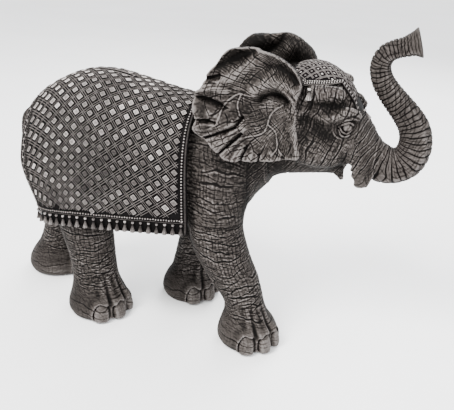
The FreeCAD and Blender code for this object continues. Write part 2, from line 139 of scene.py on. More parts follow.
class Clay:
    """A block of voxels, shaped by adding and carving soft forms. A form is its lowest
    corner, its highest corner, and a function of x, y, z that is negative inside it."""

    def __init__(self, low, high, size):
        self.low, self.size = np.array(low, float), size
        count = np.ceil((np.array(high) - self.low) / size).astype(int) + 1
        self.values = np.full(count, FAR, np.float32)
        self.axes = [self.low[i] + size * np.arange(count[i]) for i in range(3)]

    def _window(self, low, high, margin):
        spans = []
        for i in range(3):
            first = np.searchsorted(self.axes[i], low[i] - margin)
            last = np.searchsorted(self.axes[i], high[i] + margin)
            if last - first < 2:
                return None, None
            spans.append(slice(first, last))
        grid = np.meshgrid(*[a[s] for a, s in zip(self.axes, spans)], indexing="ij", sparse=True)
        return tuple(spans), [g.astype(np.float32) for g in grid]

    def _blend(self, form, blend, sign):
        """Joins a form to the clay with a fillet about blend wide. sign -1 takes it away."""
        low, high, distance = form
        spans, grid = self._window(low, high, blend + 4)
        if spans:
            old, new = sign * self.values[spans], distance(*grid)
            mix = np.clip(0.5 + 0.5 * (old - new) / blend, 0, 1)
            self.values[spans] = sign * (old + (new - old) * mix - blend * mix * (1 - mix))

    def add(self, form, blend):
        self._blend(form, blend, 1)

    def carve(self, form, blend):
        self._blend(form, blend, -1)

    def add_all(self, forms):
        for form, blend in forms:
            self.add(form, blend)

    def grid(self):
        grid = np.meshgrid(*self.axes, indexing="ij", sparse=True)
        return [g.astype(np.float32) for g in grid]

    def keep(self, distance):
        """Keeps only what lies where distance(x, y, z) is negative."""
        self.values = np.maximum(self.values, distance(*self.grid()).astype(np.float32))

    def surface(self):
        """The outside of the clay, closed at the block's faces, as points and quads."""
        self.values[[0, -1]] = NEAR
        self.values[:, [0, -1]] = NEAR
        self.values[:, :, [0, -1]] = NEAR
        grid = openvdb.FloatGrid(NEAR)
        grid.copyFromArray(np.clip(self.values, -NEAR, NEAR))
        points, quads = grid.convertToQuads(0.0)
        points = points * self.size + self.low
        return outward(points, quads.astype(np.int64))


def outward(points, quads):
    """Quads turned so that their normals point out of the closed surface."""
    a, b, c = (points[quads[:, i]] for i in range(3))
    volume = np.einsum("ij,ij->i", a, np.cross(b, c)).sum()
    return points, quads if volume > 0 else quads[:, ::-1]


def rod(a, b, radius_a, radius_b):
    """A round-ended rod from a to b."""
    a, b = np.array(a, float), np.array(b, float)
    along = b - a
    length2 = float(along @ along)

    def distance(x, y, z):
        px, py, pz = x - a[0], y - a[1], z - a[2]
        t = np.clip((px * along[0] + py * along[1] + pz * along[2]) / length2, 0, 1)
        gap = (px - t * along[0]) ** 2 + (py - t * along[1]) ** 2 + (pz - t * along[2]) ** 2
        return np.sqrt(gap) - (radius_a + (radius_b - radius_a) * t)

    reach = np.array([[radius_a], [radius_b]])
    ends = np.stack([a, b])
    return (ends - reach).min(0), (ends + reach).max(0), distance


def rope(points):
    """Rods through (x, y, z, radius) points, joined as one form."""
    dense = smooth_path(points, max(4 * (len(points) - 1), 3) + 1)
    rods = [rod(p[:3], q[:3], p[3], q[3]) for p, q in zip(dense, dense[1:])]

    def distance(x, y, z):
        nearest = rods[0][2](x, y, z)
        for form in rods[1:]:
            nearest = np.minimum(nearest, form[2](x, y, z))
        return nearest

    low = np.min([form[0] for form in rods], axis=0)
    high = np.max([form[1] for form in rods], axis=0)
    return low, high, distance


def egg(centre, radii, pitch=0.0, yaw=0.0):
    """An ellipsoid. pitch tips its X axis up towards +Z, then yaw turns it about Z."""
    cp, sp, cy, sy = math.cos(pitch), math.sin(pitch), math.cos(yaw), math.sin(yaw)
    axes = np.array([[cp * cy, cp * sy, sp], [-sy, cy, 0], [-sp * cy, -sp * sy, cp]])

    def distance(x, y, z):
        px, py, pz = x - centre[0], y - centre[1], z - centre[2]
        unit, slope = 0.0, 0.0
        for axis, radius in zip(axes, radii):
            local = px * axis[0] + py * axis[1] + pz * axis[2]
            unit = unit + (local / radius) ** 2
            slope = slope + (local / radius**2) ** 2
        unit = np.sqrt(unit)
        return unit * (unit - 1) / np.maximum(np.sqrt(slope), 1e-4)

    reach = max(radii)
    return np.array(centre) - reach, np.array(centre) + reach, distance


def barrel(sections, squareness):
    """A lying body through (x, top, bottom, half width) sections."""
    xs, tops, bottoms, wides = np.array(sections, float).T

    def distance(x, y, z):
        top, bottom, wide = (smooth(xs, column, x) for column in (tops, bottoms, wides))
        tall, middle = (top - bottom) / 2, (top + bottom) / 2
        unit = np.abs(y / wide) ** squareness + np.abs((z - middle) / tall) ** squareness
        across = (unit ** (1 / squareness) - 1) * np.minimum(wide, tall)
        beyond = np.maximum(xs[0] - x, x - xs[-1])
        return np.maximum(across, beyond)

    low = (xs[0], -max(wides), min(bottoms))
    high = (xs[-1], max(wides), max(tops))
    return np.array(low), np.array(high), distance


def limb_at(sections, z):
    """The x, the y and the radius of a limb of (z, x, y, radius) sections, at height z."""
    zs, *columns = np.array(sections, float).T
    return [smooth(zs, values, z) for values in columns]


def column(sections):
    """A standing limb through (z, x, y, radius) sections."""
    zs, xs, ys, radii = np.array(sections, float).T

    def distance(x, y, z):
        cx, cy, r = limb_at(sections, z)
        return np.maximum(np.hypot(x - cx, y - cy) - r, np.maximum(zs[0] - z, z - zs[-1]))

    reach = max(radii)
    low = (min(xs) - reach, min(ys) - reach, zs[0])
    high = (max(xs) + reach, max(ys) + reach, zs[-1])
    return np.array(low), np.array(high), distance


def on_side(points, side):
    """Points given for the animal's right side, on its right (side -1) or left (side 1)."""
    return [(p[0], -side * p[1], *p[2:]) for p in points]


# ---------------------------------------------------------------- meshes
def normals(points, quads):
    """The unit normal of the surface at each point."""
    across = np.cross(points[quads[:, 2]] - points[quads[:, 0]],
                      points[quads[:, 3]] - points[quads[:, 1]])
    total = np.stack([np.bincount(quads.ravel(), np.repeat(across[:, i], 4), len(points))
                      for i in range(3)], axis=1)
    return total / np.maximum(np.linalg.norm(total, axis=1, keepdims=True), 1e-12)


def relax(points, quads, rounds):
    """The points after each has moved to the middle of its neighbours, rounds times."""
    a = quads.ravel()
    b = quads[:, [1, 2, 3, 0]].ravel()
    ends, others = np.r_[a, b], np.r_[b, a]
    degree = np.maximum(np.bincount(ends, minlength=len(points)), 1)[:, None]
    for _ in range(rounds):
        near = [np.bincount(ends, points[others, i], len(points)) for i in range(3)]
        points = 0.3 * points + 0.7 * np.stack(near, axis=1) / degree
    return points


def hollows(points, quads, size):
    """From 0 in a recess to 1 on a ridge, judged at a fine and at a broad scale."""
    facing = normals(points, quads)
    result = np.full(len(points), 0.5)
    for rounds, gain in ((4, 1.6 / size), (40, 0.22)):
        off = np.einsum("ij,ij->i", points - relax(points, quads, rounds), facing)
        result += np.clip(off * gain, -0.45, 0.45)
    return np.clip(result, 0, 1)


def show(name, mesh, slot, body=FIGURE, node=None):
    """Puts a mesh in the scene as the piece called name, riding on a CAD body. It stands for
    the CAD node of that name, unless another node is given."""
    piece = bpy.data.objects.new(name, mesh)
    bpy.context.scene.collection.objects.link(piece)
    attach(piece, body)
    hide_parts(node or name)
    return piece


def make_piece(name, points, faces, tones, material, slot, **more):
    """A piece from points in mm and an array of quads. A quad whose last two corners are the
    same is a triangle. tones gives each point's relief, which the material reads."""
    mesh = bpy.data.meshes.new(name)
    faces = np.asarray(faces, np.int64)
    flat = faces[:, 2] == faces[:, 3]
    sizes = np.where(flat, 3, 4)
    corners = faces.ravel()[np.stack([np.ones(len(faces), bool)] * 3 + [~flat], 1).ravel()]
    mesh.vertices.add(len(points))
    mesh.vertices.foreach_set("co", (np.asarray(points) * MM).astype(np.float32).ravel())
    mesh.loops.add(len(corners))
    mesh.loops.foreach_set("vertex_index", corners.astype(np.int32))
    mesh.polygons.add(len(faces))
    starts = np.r_[0, np.cumsum(sizes)[:-1]]
    mesh.polygons.foreach_set("loop_start", starts.astype(np.int32))
    mesh.polygons.foreach_set("loop_total", sizes.astype(np.int32))
    mesh.update(calc_edges=True)
    mesh.validate()
    mesh.polygons.foreach_set("use_smooth", np.ones(len(mesh.polygons), bool))
    attribute = mesh.attributes.new("relief", "FLOAT", "POINT")
    attribute.data.foreach_set("value", np.asarray(tones, np.float32))
    mesh.materials.append(material)
    return show(name, mesh, slot, **more)


class Parts:
    """Many small closed meshes gathered into one piece."""

    def __init__(self):
        self.points, self.faces, self.tones, self.count = [], [], [], 0

    def put(self, points, faces, tones):
        """Adds one mesh, with a relief for each of its points or one for all."""
        points = np.asarray(points, float)
        self.points.append(points)
        self.faces.append(np.asarray(faces) + self.count)
        self.tones.append(np.broadcast_to(np.asarray(tones, float), len(points)))
        self.count += len(points)

    def make(self, name, material, slot, **more):
        make_piece(name, np.concatenate(self.points), np.concatenate(self.faces),
                   np.concatenate(self.tones), material, slot, **more)


def ring_faces(rings, around):
    """Quads of a closed tube of rings of points, with a fan at each end's centre point.
    The points are the rings in order, then the first and the last centre."""
    i, j = np.meshgrid(np.arange(rings - 1), np.arange(around), indexing="ij")
    k = (j + 1) % around
    side = np.stack([i * around + j, i * around + k, (i + 1) * around + k,
                     (i + 1) * around + j], axis=-1).reshape(-1, 4)
    j = np.arange(around)
    k = (j + 1) % around
    first, last, base = rings * around, rings * around + 1, (rings - 1) * around
    start = np.stack([k, j, np.full(around, first), np.full(around, first)], axis=1)
    end = np.stack([base + j, base + k, np.full(around, last), np.full(around, last)], axis=1)
    return np.concatenate([side, start, end])


# ---------------------------------------------------------------- materials
class Nodes:
    """Short ways to write a material's node tree."""

    def __init__(self, name):
        self.material = bpy.data.materials.new(name)
        self.material.use_nodes = True
        self.tree = self.material.node_tree
        self.shader = self.tree.nodes["Principled BSDF"]

    def link(self, value, socket):
        if isinstance(value, bpy.types.NodeSocket):
            self.tree.links.new(value, socket)
        else:
            socket.default_value = value

    def maths(self, operation, a, b):
        """The result of a math node on two sockets or numbers."""
        node = self.tree.nodes.new("ShaderNodeMath")
        node.operation = operation
        self.link(a, node.inputs[0])
        self.link(b, node.inputs[1])
        return node.outputs[0]

    def speckle(self, scale, detail, stretch=(1, 1, 1)):
        """Fine noise from 0 to 1 with scale grains to the metre, squeezed by stretch."""
        where = self.tree.nodes.new("ShaderNodeTexCoord")
        mapping = self.tree.nodes.new("ShaderNodeMapping")
        mapping.inputs["Scale"].default_value = stretch
        self.tree.links.new(where.outputs["Object"], mapping.inputs["Vector"])
        node = self.tree.nodes.new("ShaderNodeTexNoise")
        node.inputs["Scale"].default_value = scale
        node.inputs["Detail"].default_value = detail
        node.inputs["Roughness"].default_value = 0.6
        self.tree.links.new(mapping.outputs[0], node.inputs["Vector"])
        return node.outputs["Fac"]

    def sway(self, value, field, amount):
        """value, plus amount times how far field is above one half."""
        above = self.maths("SUBTRACT", field, 0.5)
        return self.maths("ADD", value, self.maths("MULTIPLY", above, amount))

    def attribute(self, name):
        node = self.tree.nodes.new("ShaderNodeAttribute")
        node.attribute_name = name
        return node.outputs["Fac"]

    def ramp(self, value, stops):
        """The colour at value, from (position, colour) stops."""
        node = self.tree.nodes.new("ShaderNodeValToRGB")
        elements = node.color_ramp.elements
        while len(elements) < len(stops):
            elements.new(0.5)
        for element, (position, colour) in zip(elements, stops):
            element.position, element.color = position, (*colour, 1)
        self.tree.links.new(value, node.inputs[0])
        return node.outputs["Color"]

    def bump(self, height, distance, strength=1.0):
        node = self.tree.nodes.new("ShaderNodeBump")
        node.inputs["Strength"].default_value = strength
        node.inputs["Distance"].default_value = distance
        self.tree.links.new(height, node.inputs["Height"])
        self.tree.links.new(node.outputs[0], self.shader.inputs["Normal"])

    def set(self, **values):
        """Sets the shader's inputs by name, with _ for a space, and gives the material."""
        for name, value in values.items():
            self.link(value, self.shader.inputs[name.replace("_", " ")])
        return self.material


def brushed_resin(name, stops, brush=1.0, patchy=0.42):
    """Black cast resin whose raised parts are brushed with paint. The relief attribute says
    how raised a point is, shifted by the painted shade and painted highlights laid on some
    pieces, and stops give the colours from recess to ridge."""
    n = Nodes(name)
    grain = n.speckle(900, 5)
    streaks = n.speckle(240, 3, (1, 1, 2.6))
    patches = n.speckle(22, 3)
    raised = n.maths("MULTIPLY", n.attribute("relief"), brush)
    for field, amount in ((grain, 0.34), (streaks, 0.30), (patches, patchy)):
        raised = n.sway(raised, field, amount)
    colour = n.ramp(raised, stops)
    rough = n.maths("ADD", n.maths("MULTIPLY", grain, 0.25), 0.55)
    height = n.maths("ADD", grain, n.maths("MULTIPLY", streaks, 0.6))
    n.bump(height, 0.0005, 0.7)
    return n.set(Base_Color=colour, Roughness=rough, Specular_IOR_Level=0.05)


SKIN_STOPS = ((0.10, (0.0016, 0.0013, 0.0011)), (0.34, (0.0070, 0.0058, 0.0051)),
              (0.54, (0.0200, 0.0170, 0.0153)), (0.76, (0.042, 0.0365, 0.0335)),
              (1.04, (0.105, 0.095, 0.0895)))
SILVER_STOPS = ((0.18, (0.0015, 0.0012, 0.0012)), (0.40, (0.0070, 0.0060, 0.0058)),
                (0.60, (0.034, 0.0302, 0.0285)), (0.80, (0.110, 0.099, 0.094)),
                (0.98, (0.34, 0.315, 0.30)))


def felt():
    n = Nodes("felt_disc")
    fuzz = n.speckle(1600, 3)
    n.bump(fuzz, 0.0004)
    colour = n.ramp(fuzz, ((0.3, (0.012, 0.012, 0.013)), (0.8, (0.05, 0.05, 0.052))))
    return n.set(Base_Color=colour, Roughness=0.95)


def black_rubber():
    n = Nodes("stopper_rubber")
    dust, grain = n.speckle(60, 4), n.speckle(1200, 2)
    n.bump(grain, 0.0001)
    colour = n.ramp(dust, ((0.3, (0.012, 0.012, 0.013)), (0.8, (0.045, 0.045, 0.047))))
    return n.set(Base_Color=colour, Roughness=n.maths("ADD", n.maths("MULTIPLY", dust, 0.2), 0.5))


SKIN = brushed_resin("resin_skin", SKIN_STOPS)
EAR_SKIN = brushed_resin("resin_ear", SKIN_STOPS, 1.20)
TRUNK_SKIN = brushed_resin("resin_trunk", SKIN_STOPS, 1.0)
SILVER = brushed_resin("resin_silvered", SILVER_STOPS, patchy=0.20)


# ---------------------------------------------------------------- the skin's clay
BELLY_HOLE_R, BELLY_HOLE_DEPTH = 17.6, 34.0
SLOT_LOW, SLOT_HIGH, SLOT_HALF = -133.0, -87.0, 2.5
NECK_X = cad_box("torso_shell")[1][0]
HEM_REAR_Z, HEM_FRONT_Z = 121.0, 139.0
STOPPER_X = cad_box("stopper")[0][0] + 23.0
SOLE_Z = cad_box("foot_pads")[1][2]

# Each section is (x, top, bottom, half width).
TORSO = ((-232, 213, 198, 5), (-226, 222, 180, 20), (-216, 231, 160, 34), (-203, 247, 140, 49),
         (-175, 269, 124, 62), (-140, 284, 117, 68), (-110, 288, 115, 69), (-60, 277, 115, 69),
         (-20, 269, 118, 64), (10, 270, 122, 57), (40, 277, 138, 48), (60, 284, 160, 41),
         (84, 300, 190, 42))
HEAD = ((56, 284, 170, 40), (68, 287, 180, 40), (84, 300, 196, 42), (100, 321, 204, 46),
        (118, 330, 208, 48), (134, 330, 211, 48), (149, 324, 216, 46), (160, 316, 224, 43),
        (170, 302, 232, 39), (181, 284, 226, 33), (192, 267, 216, 27), (200, 256, 210, 24))
# Each leg's sections are (z, x, y, radius); the left legs stride back.
FRONT_RIGHT = ((2, 82, -41, 33), (8, 82, -41, 36), (16, 82, -41, 36), (28, 81, -41, 32),
               (40, 78, -41, 26), (52, 75, -41, 24), (66, 69, -41, 26), (84, 60, -41, 29),
               (104, 48, -40, 31), (130, 37, -38, 32), (165, 31, -36, 30), (206, 31, -34, 20))
FRONT_LEFT = ((2, -20, 41, 33), (8, -20, 41, 36), (16, -20, 41, 36), (28, -20, 41, 32),
              (40, -19, 41, 26), (52, -18, 41, 24), (66, -14, 41, 25), (84, -8, 40, 27),
              (104, 2, 38, 28), (130, 14, 36, 28), (165, 27, 35, 27), (206, 31, 34, 20))
REAR_RIGHT = ((2, -113, -41, 35), (8, -113, -41, 38), (16, -113, -41, 38), (28, -114, -41, 34),
              (40, -116, -41, 30), (52, -118, -41, 28), (66, -120, -41, 28), (84, -123, -41, 29),
              (104, -127, -41, 31), (130, -135, -40, 32), (165, -148, -38, 31), (200, -152, -36, 22))
REAR_LEFT = ((2, -218, 41, 35), (8, -218, 41, 38), (16, -218, 41, 38), (28, -217, 41, 34),
             (40, -214, 41, 29), (52, -210, 40, 27), (66, -206, 40, 27), (84, -200, 39, 28),
             (104, -191, 38, 28), (130, -180, 36, 28), (165, -168, 35, 28), (200, -162, 34, 20))
LEGS = {"leg_front_right": FRONT_RIGHT, "leg_front_left": FRONT_LEFT,
        "leg_rear_right": REAR_RIGHT, "leg_rear_left": REAR_LEFT}
# Each foot's toes, as (degrees from +X towards the outside, how wide in mm).
TOES = {"leg_front_right": ((76, 10.5), (38, 9.5), (6, 8)),
        "leg_front_left": ((-62, 10.5), (-22, 9.5), (16, 8)),
        "leg_rear_right": ((60, 11), (22, 10), (-14, 8)),
        "leg_rear_left": ((22, 10.5), (-18, 10), (58, 8))}


def skin_forms():
    """The whole skin as (form, blend) pairs, so that neighbouring pieces agree."""
    forms = [(barrel(TORSO, 2.0), 1.0), (barrel(HEAD, 2.25), 10.0)]
    for sections in LEGS.values():
        forms.append((column(sections), 11.0))
    for side in (-1, 1):
        forms.append((egg((36, side * 30, 196), (34, 26, 58)), 16.0))
        forms.append((egg((-150, side * 34, 188), (46, 30, 60)), 16.0))
    forms.append((rope([(2, -40, 128, 4), (24, -50, 104, 4), (46, -58, 78, 3)]), 7.0))
    forms.append((rope([(46, 0, 178, 18), (60, 0, 204, 24), (84, 0, 224, 20)]), 9.0))
    return forms


def head_forms():
    """What is added to the head: brow, lids, cheeks, jaw, lips and the trunk's root."""
    added = [(rope([(168, 0, 256, 31), (182, 0, 243, 25), (198, 0, 233.5, 22.3),
                    (214, 0, 228.5, 20.8)]), 8.0),
             (rope([(134, 0, 229, 18), (150, 0, 224, 13), (160, 0, 219, 8.5),
                    (167, 0, 208.5, 4.2)]), 6.0)]
    for side in (-1, 1):
        parts = (
            ([(132, -41, 290, 6), (146, -45, 285, 6), (158, -44, 287, 6), (170, -38, 291, 5.5),
              (178, -30, 286, 5)], 7.0),
            ([(134, -42, 308, 8), (146, -43, 308, 9), (156, -39, 308, 8)], 7.0),
            ([(124, -44, 250, 14), (142, -42, 246, 15), (156, -36, 242, 12)], 12.0),
            ([(170, -30, 256, 12), (177, -26, 243, 11.5), (184, -23, 229, 11), (190, -21, 214, 9.0)], 8.0),
            ([(188, -20, 218, 8), (198, -15, 217, 8.5), (210, -10, 218, 8.5)], 6.0),
            ([(118, -46, 292, 9), (116, -47, 272, 8), (112, -44, 246, 7)], 8.0),
            ([(176, -24, 268, 9), (188, -17, 252, 7)], 9.0),
        )
        for points, blend in parts:
            added.append((rope(on_side(points, side)), blend))
    return added


EYE = np.array([169.0, -38.5, 275.5])


def head_hollows():
    """What is carved from the head: temples, eye sockets, cheek furrows and the mouth."""
    carved = [(rod((175.5, -60, 231), (175.5, 60, 231), 3.6, 3.6), 2.0),
              (rod((174.6, -60, 223), (174.6, 60, 223), 4.9, 4.9), 2.0),
              (rod((176.5, -60, 213), (176.5, 60, 213), 6.5, 6.5), 2.0),
              (rod((181, -8, 212), (181, 8, 212), 12, 12), 3.0)]
    for side in (-1, 1):
        parts = (
            ([(131, -50, 295, 4), (141, -53, 294, 5.5), (152, -52, 295.5, 5.5), (162, -47, 301, 4)], 5.0),
            ([(126, -53, 280, 4), (140, -53, 272, 5), (156, -49, 265, 3.5)], 6.0),
            ([(171, -29, 241, 2.2), (164, -33, 236, 2.2), (157, -31, 228, 1.6)], 2.5),
            ([(118, -54, 308, 6), (121, -55, 298, 6)], 6.0),
            ([(191.5, -20.5, 206, 6.0), (190.5, -20.8, 212, 5.0)], 1.5),
        )
        for points, blend in parts:
            carved.append((rope(on_side(points, side)), blend))
        carved.append((egg((EYE[0], side * 44.5, EYE[2]), (9.0, 5.8, 6.4), 0.35, side * 0.35), 3.0))
    return carved


def eye_forms():
    """The eyeballs and their almond lids, added after the sockets are carved."""
    forms = []
    for side in (-1, 1):
        ball = (EYE[0] + 1.0, side * 38.0, EYE[2])
        forms.append((egg(ball, (5.0, 4.7, 4.8)), 0.3))
        lids = ([(161.2, -41.6, 276.6, 0.9), (167.0, -42.8, 279.6, 1.2), (172.6, -41.4, 281.4, 1.3),
                 (175.8, -38.8, 278.8, 1.0)],
                [(162.4, -41.8, 275.4, 0.8), (166.1, -42.6, 270.9, 0.9), (170.2, -41.9, 269.6, 0.9),
                 (174.8, -39.0, 273.2, 0.8)],
                [(161.5, -42.6, 272.6, 0.7), (165.0, -43.0, 267.4, 0.9), (169.3, -41.8, 265.9, 0.9),
                 (173.0, -40.0, 268.2, 0.6)],
                [(156.2, -43.4, 271.0, 0.5), (158.6, -43.3, 266.6, 0.6), (162.4, -42.6, 264.0, 0.5),
                 (166.0, -41.4, 263.2, 0.3)],
                [(159.9, -43.2, 279.4, 1.0), (166.1, -43.6, 283.2, 1.4), (173.4, -40.8, 285.6, 1.4),
                 (178.5, -36.4, 284.0, 0.9)])
        for points in lids:
            forms.append((rope(on_side(points, side)), 1.6))
    return forms


def leg_details(name, clay):
    """Domed toes with smooth nails, and the furrows that run up between them."""
    _, foot_x, foot_y, radius = LEGS[name][2]
    side = math.copysign(1, foot_y)
    _, ankle_x, ankle_y, ankle_r = LEGS[name][5]

    def beside(degrees, reach, z):
        bearing = math.radians(degrees) * side
        share = np.clip((z - 16) / 34, 0, 1)
        x = foot_x + (ankle_x - foot_x) * share
        y = foot_y + (ankle_y - foot_y) * share
        r = radius + (ankle_r - radius) * share + reach
        return x + r * math.cos(bearing), y + r * math.sin(bearing), z

    for degrees, wide in TOES[name]:
        bearing = math.radians(degrees) * side
        clay.add(egg(beside(degrees, -4.5, 13), (9, wide + 2.5, 17), 0.12, bearing), 5.0)
        clay.carve(egg(beside(degrees, -1.0, 11), (6.4, wide + 0.4, 15.5), 0.12, bearing), 1.2)
        clay.add(egg(beside(degrees, -2.2, 9), (6.8, wide - 1.0, 15.2), 0.12, bearing), 0.8)
    ordered = sorted(degrees for degrees, _ in TOES[name])
    for a, b in zip(ordered, ordered[1:]):
        middle = (a + b) / 2
        furrow = [(*beside(middle, 2.2, 3), 3.6), (*beside(middle, 2.4, 18), 3.6),
                  (*beside(middle, 1.4, 34), 2.4), (*beside(middle, 1.6, 50), 1.2)]
        clay.carve(rope(furrow), 3.5)
        for offset in (-11, 11):
            tendon = [(*beside(middle + offset, -2.4, 24), 3.4),
                      (*beside(middle + offset * 0.9, -2.0, 38), 2.8),
                      (*beside(middle + offset * 0.8, -1.6, 52), 1.6)]
            clay.add(rope(tendon), 5.0)


# Where a leg's share of the skin ends, how far it lies outside the leg's own surface, and
# how far from the leg's middle its block of clay reaches.
LEG_TOP, LEG_MARGIN, LEG_REACH = 150.0, 5.0, 46.0


def leg_gap(sections):
    """Negative inside a leg's own share of the skin, which ends near its joint."""

    def distance(x, y, z):
        cx, cy, r = limb_at(sections, z)
        return np.maximum(np.hypot(x - cx, y - cy) - r - LEG_MARGIN, z - LEG_TOP)

    return distance


# How far a leg or the head runs on under its neighbour, and how deep it sinks there.
OVERLAP, TUCK = 3.0, 0.5


def keep_share(clay, gap):
    """Keeps the region where gap is negative, and OVERLAP beyond it. There the surface sinks
    by TUCK below its neighbour's, so that no space shows between the two pieces."""
    clay.keep(lambda x, y, z: gap(x, y, z) - OVERLAP)
    beyond = np.clip(gap(*clay.grid()) / OVERLAP, 0, 1)
    clay.values = clay.values + (TUCK * beyond).astype(np.float32)


# ---------------------------------------------------------------- wrinkles
def creases(across, along, points, spacing, width, length, cover, seed):
    """Wavy parallel creases at spacing, broken into runs about length long: 1 in a crease.
    across and along are distances in mm over the skin; cover is the share that is creased."""
    bend = 13 * (noise(points, 36, seed) - 0.5) + 6 * (noise(points, 14, seed + 1) - 0.5)
    bend += 1.6 * (noise(points, 5, seed + 2) - 0.5)
    phase = (across + bend) / spacing
    row = np.floor(phase + 0.5)
    away = np.abs(phase - row) * spacing
    run = noise(np.stack([along / length, row * 3.7, row * 0 + seed], axis=1), 1.0, seed)
    present = step(0.62 - 0.55 * cover, 0.80 - 0.55 * cover, run)
    return (1 - step(0.15, width, away)) * present


def hide(points, across, along, seed, size=1.0):
    """Elephant hide: long creases at steps of across, short ones at steps of along, and a
    fine net. Returns how deep and how dark each point is."""
    long_ones = creases(across, along, points, 8.8 * size, 1.25, 17 * size, 0.50, seed)
    second = creases(across + 2.6, along, points, 4.3 * size, 0.85, 9 * size, 0.44, seed + 3)
    upright = creases(along, across, points, 4.6 * size, 0.85, 13 * size, 0.50, seed + 6)
    net = creases(across, along, points, 2.3 * size, 0.8, 5 * size, 0.45, seed + 9)
    rough = noise(points, 1.9, seed + 12) - 0.5
    depth = 0.95 * long_ones + 0.24 * second + 0.20 * upright + 0.20 * net + 0.28 * rough
    dark = 1.10 * long_ones + 0.40 * second + 0.38 * upright + 0.40 * net + 0.50 * rough
    return depth, dark


def skin_piece(name, clay, folds, material=SKIN):
    """Turns clay into a finished piece: hide and folds pressed in, and relief recorded.
    folds(points) gives (depth in mm, how dark) for each point."""
    points, quads = clay.surface()
    facing = normals(points, quads)
    depth, dark = folds(points)
    points = points - facing * depth[:, None]
    relief = hollows(points, quads, clay.size)
    tone = np.clip(relief - 0.42 * dark, 0, 1)
    return make_piece(name, points, quads, tone, material, "resin_skin")


def rim_shade(gap):
    """How much darker the skin is near where two pieces meet, gap millimetres away."""
    return 0.95 * np.exp(-((gap / 2.6) ** 2))


def shade_spots(x, z, places, narrow, wide):
    """How much painted shade darkens the skin near places (x, z, size): by up to narrow where
    the size is under 10 mm, and by up to wide elsewhere."""
    dark = 0.0
    for at_x, at_z, size in places:
        most = narrow if size < 10 else wide
        dark = dark + most * np.exp(-((x - at_x) ** 2 + (z - at_z) ** 2) / size**2)
    return dark


def leg_folds(sections):
    """Folds for a leg: knees more creased, feet smoother, and toes worn at the front."""

    def folds(points):
        x, y, z = points.T
        middle_x, middle_y, radius = limb_at(sections, z)
        forward = x - middle_x
        along = np.arctan2(y - middle_y, forward)
        depth, dark = hide(points, z, along * radius, 1)
        foot = 1 - step(26, 46, z)
        knee = step(44, 56, z) * (1 - step(74, 96, z))
        extra = creases(z - 0.5 * forward, along * 30, points, 7.6, 1.2, 20, 0.55, 21) * knee
        depth = (depth + 0.6 * extra) * (1 - 0.78 * foot)
        dark = (dark + 0.6 * extra) * (1 - 0.62 * foot)
        lightened = (1 - step(12, 27, z)) * step(-4, 20, forward)
        # painted shade at the top of the leg, where it meets the torso under the blanket
        join_shade = rim_shade(leg_gap(sections)(x, y, z)) * step(112, 130, z)
        return depth, dark - 0.34 * lightened + join_shade

    return folds


def body_folds(points):
    """Folds for the torso: level creases, and painted shade round the neck under the ears and at the seams
    with the legs and head.
    """
    x, y, z = points.T
    depth, dark = hide(points, z + 0.10 * x, x + 0.5 * y, 3, 1.1)
    # painted shade on the neck under the ears, where less paint was also brushed
    under_ear_shade = step(28, 46, x) * step(205, 225, z)
    # painted shade where the torso meets the head and the legs
    rims = rim_shade(x - NECK_X)
    for sections in LEGS.values():
        rims = np.maximum(rims, rim_shade(leg_gap(sections)(x, y, z)))
    return depth, dark + 0.10 + 0.45 * under_ear_shade + rims


# Places on the side of the head with painted shade, over hollows that also hold less brushed paint, as (x,
# z, size).
SHADED = ((152, 297, 9), (134, 283, 9), (140, 272, 9), (152, 266, 8), (127, 262, 8), (124, 248, 8),
          (100, 222, 16), (76, 214, 18), (168, 236, 8), (158, 226, 7))


def head_folds(points):
    """Folds for the head: rings round the eye, a calmer lip, grooves at the trunk's root."""
    x, y, z = points.T
    from_eye = np.hypot(x - EYE[0], (z - EYE[2]) * 1.15)
    near = 1 - step(11, 20, from_eye)
    wobble = 2.2 * noise(points, 9, 4)
    rings = (1 - step(0.0, 0.42, np.abs(np.sin(math.pi * (from_eye + wobble) / 3.3)))) * near
    rings *= step(7.5, 9.0, from_eye)
    depth, dark = hide(points, x - 0.40 * (z - 260) + 0.003 * (z - 262) ** 2, z + 0.3 * x, 5, 1.05)
    calm = 1 - 0.75 * near
    lip = step(178, 183, x) * (1 - step(204, 210, x)) * (1 - step(222, 232, z))
    calm = calm * (1 - 0.8 * lip)
    root = step(176, 190, x) * step(226, 236, z)
    along_root = (x - 172) * 0.80 - (z - 258) * 0.60
    bend = 4 * (noise(points, 16, 15) - 0.5)
    grooves = 1 - step(0.05, 0.34, np.abs(np.sin(math.pi * (along_root + bend) / 7.4)))
    depth = depth * calm * (1 - 0.5 * root) + 0.7 * rings + 1.1 * grooves * root
    dark = dark * calm * (1 - 0.5 * root) + 0.5 * rings + 0.75 * grooves * root
    # painted shade in the head's hollows and under the ear
    dark = dark + shade_spots(x, z, SHADED, 0.55, 0.55)
    on_ball = 1 - step(3.6, 4.6, np.hypot(x - EYE[0] - 1.0, z - EYE[2]))
    dark = dark + 0.26 * (1 - step(7.0, 11.0, from_eye)) * (1 - on_ball) - 0.06 * on_ball
    tip_lines = lines(np.stack([y, x * 0.35, z * 0.35], axis=1), 3.0, 0.10, 5) * lip
    return depth + 0.35 * tip_lines, dark + 0.3 * tip_lines - 0.12 * lip + rim_shade(x - NECK_X)


# ---------------------------------------------------------------- skin pieces
BELLY_Z, SLOT_FLOOR_Z = 113.5, 262.0


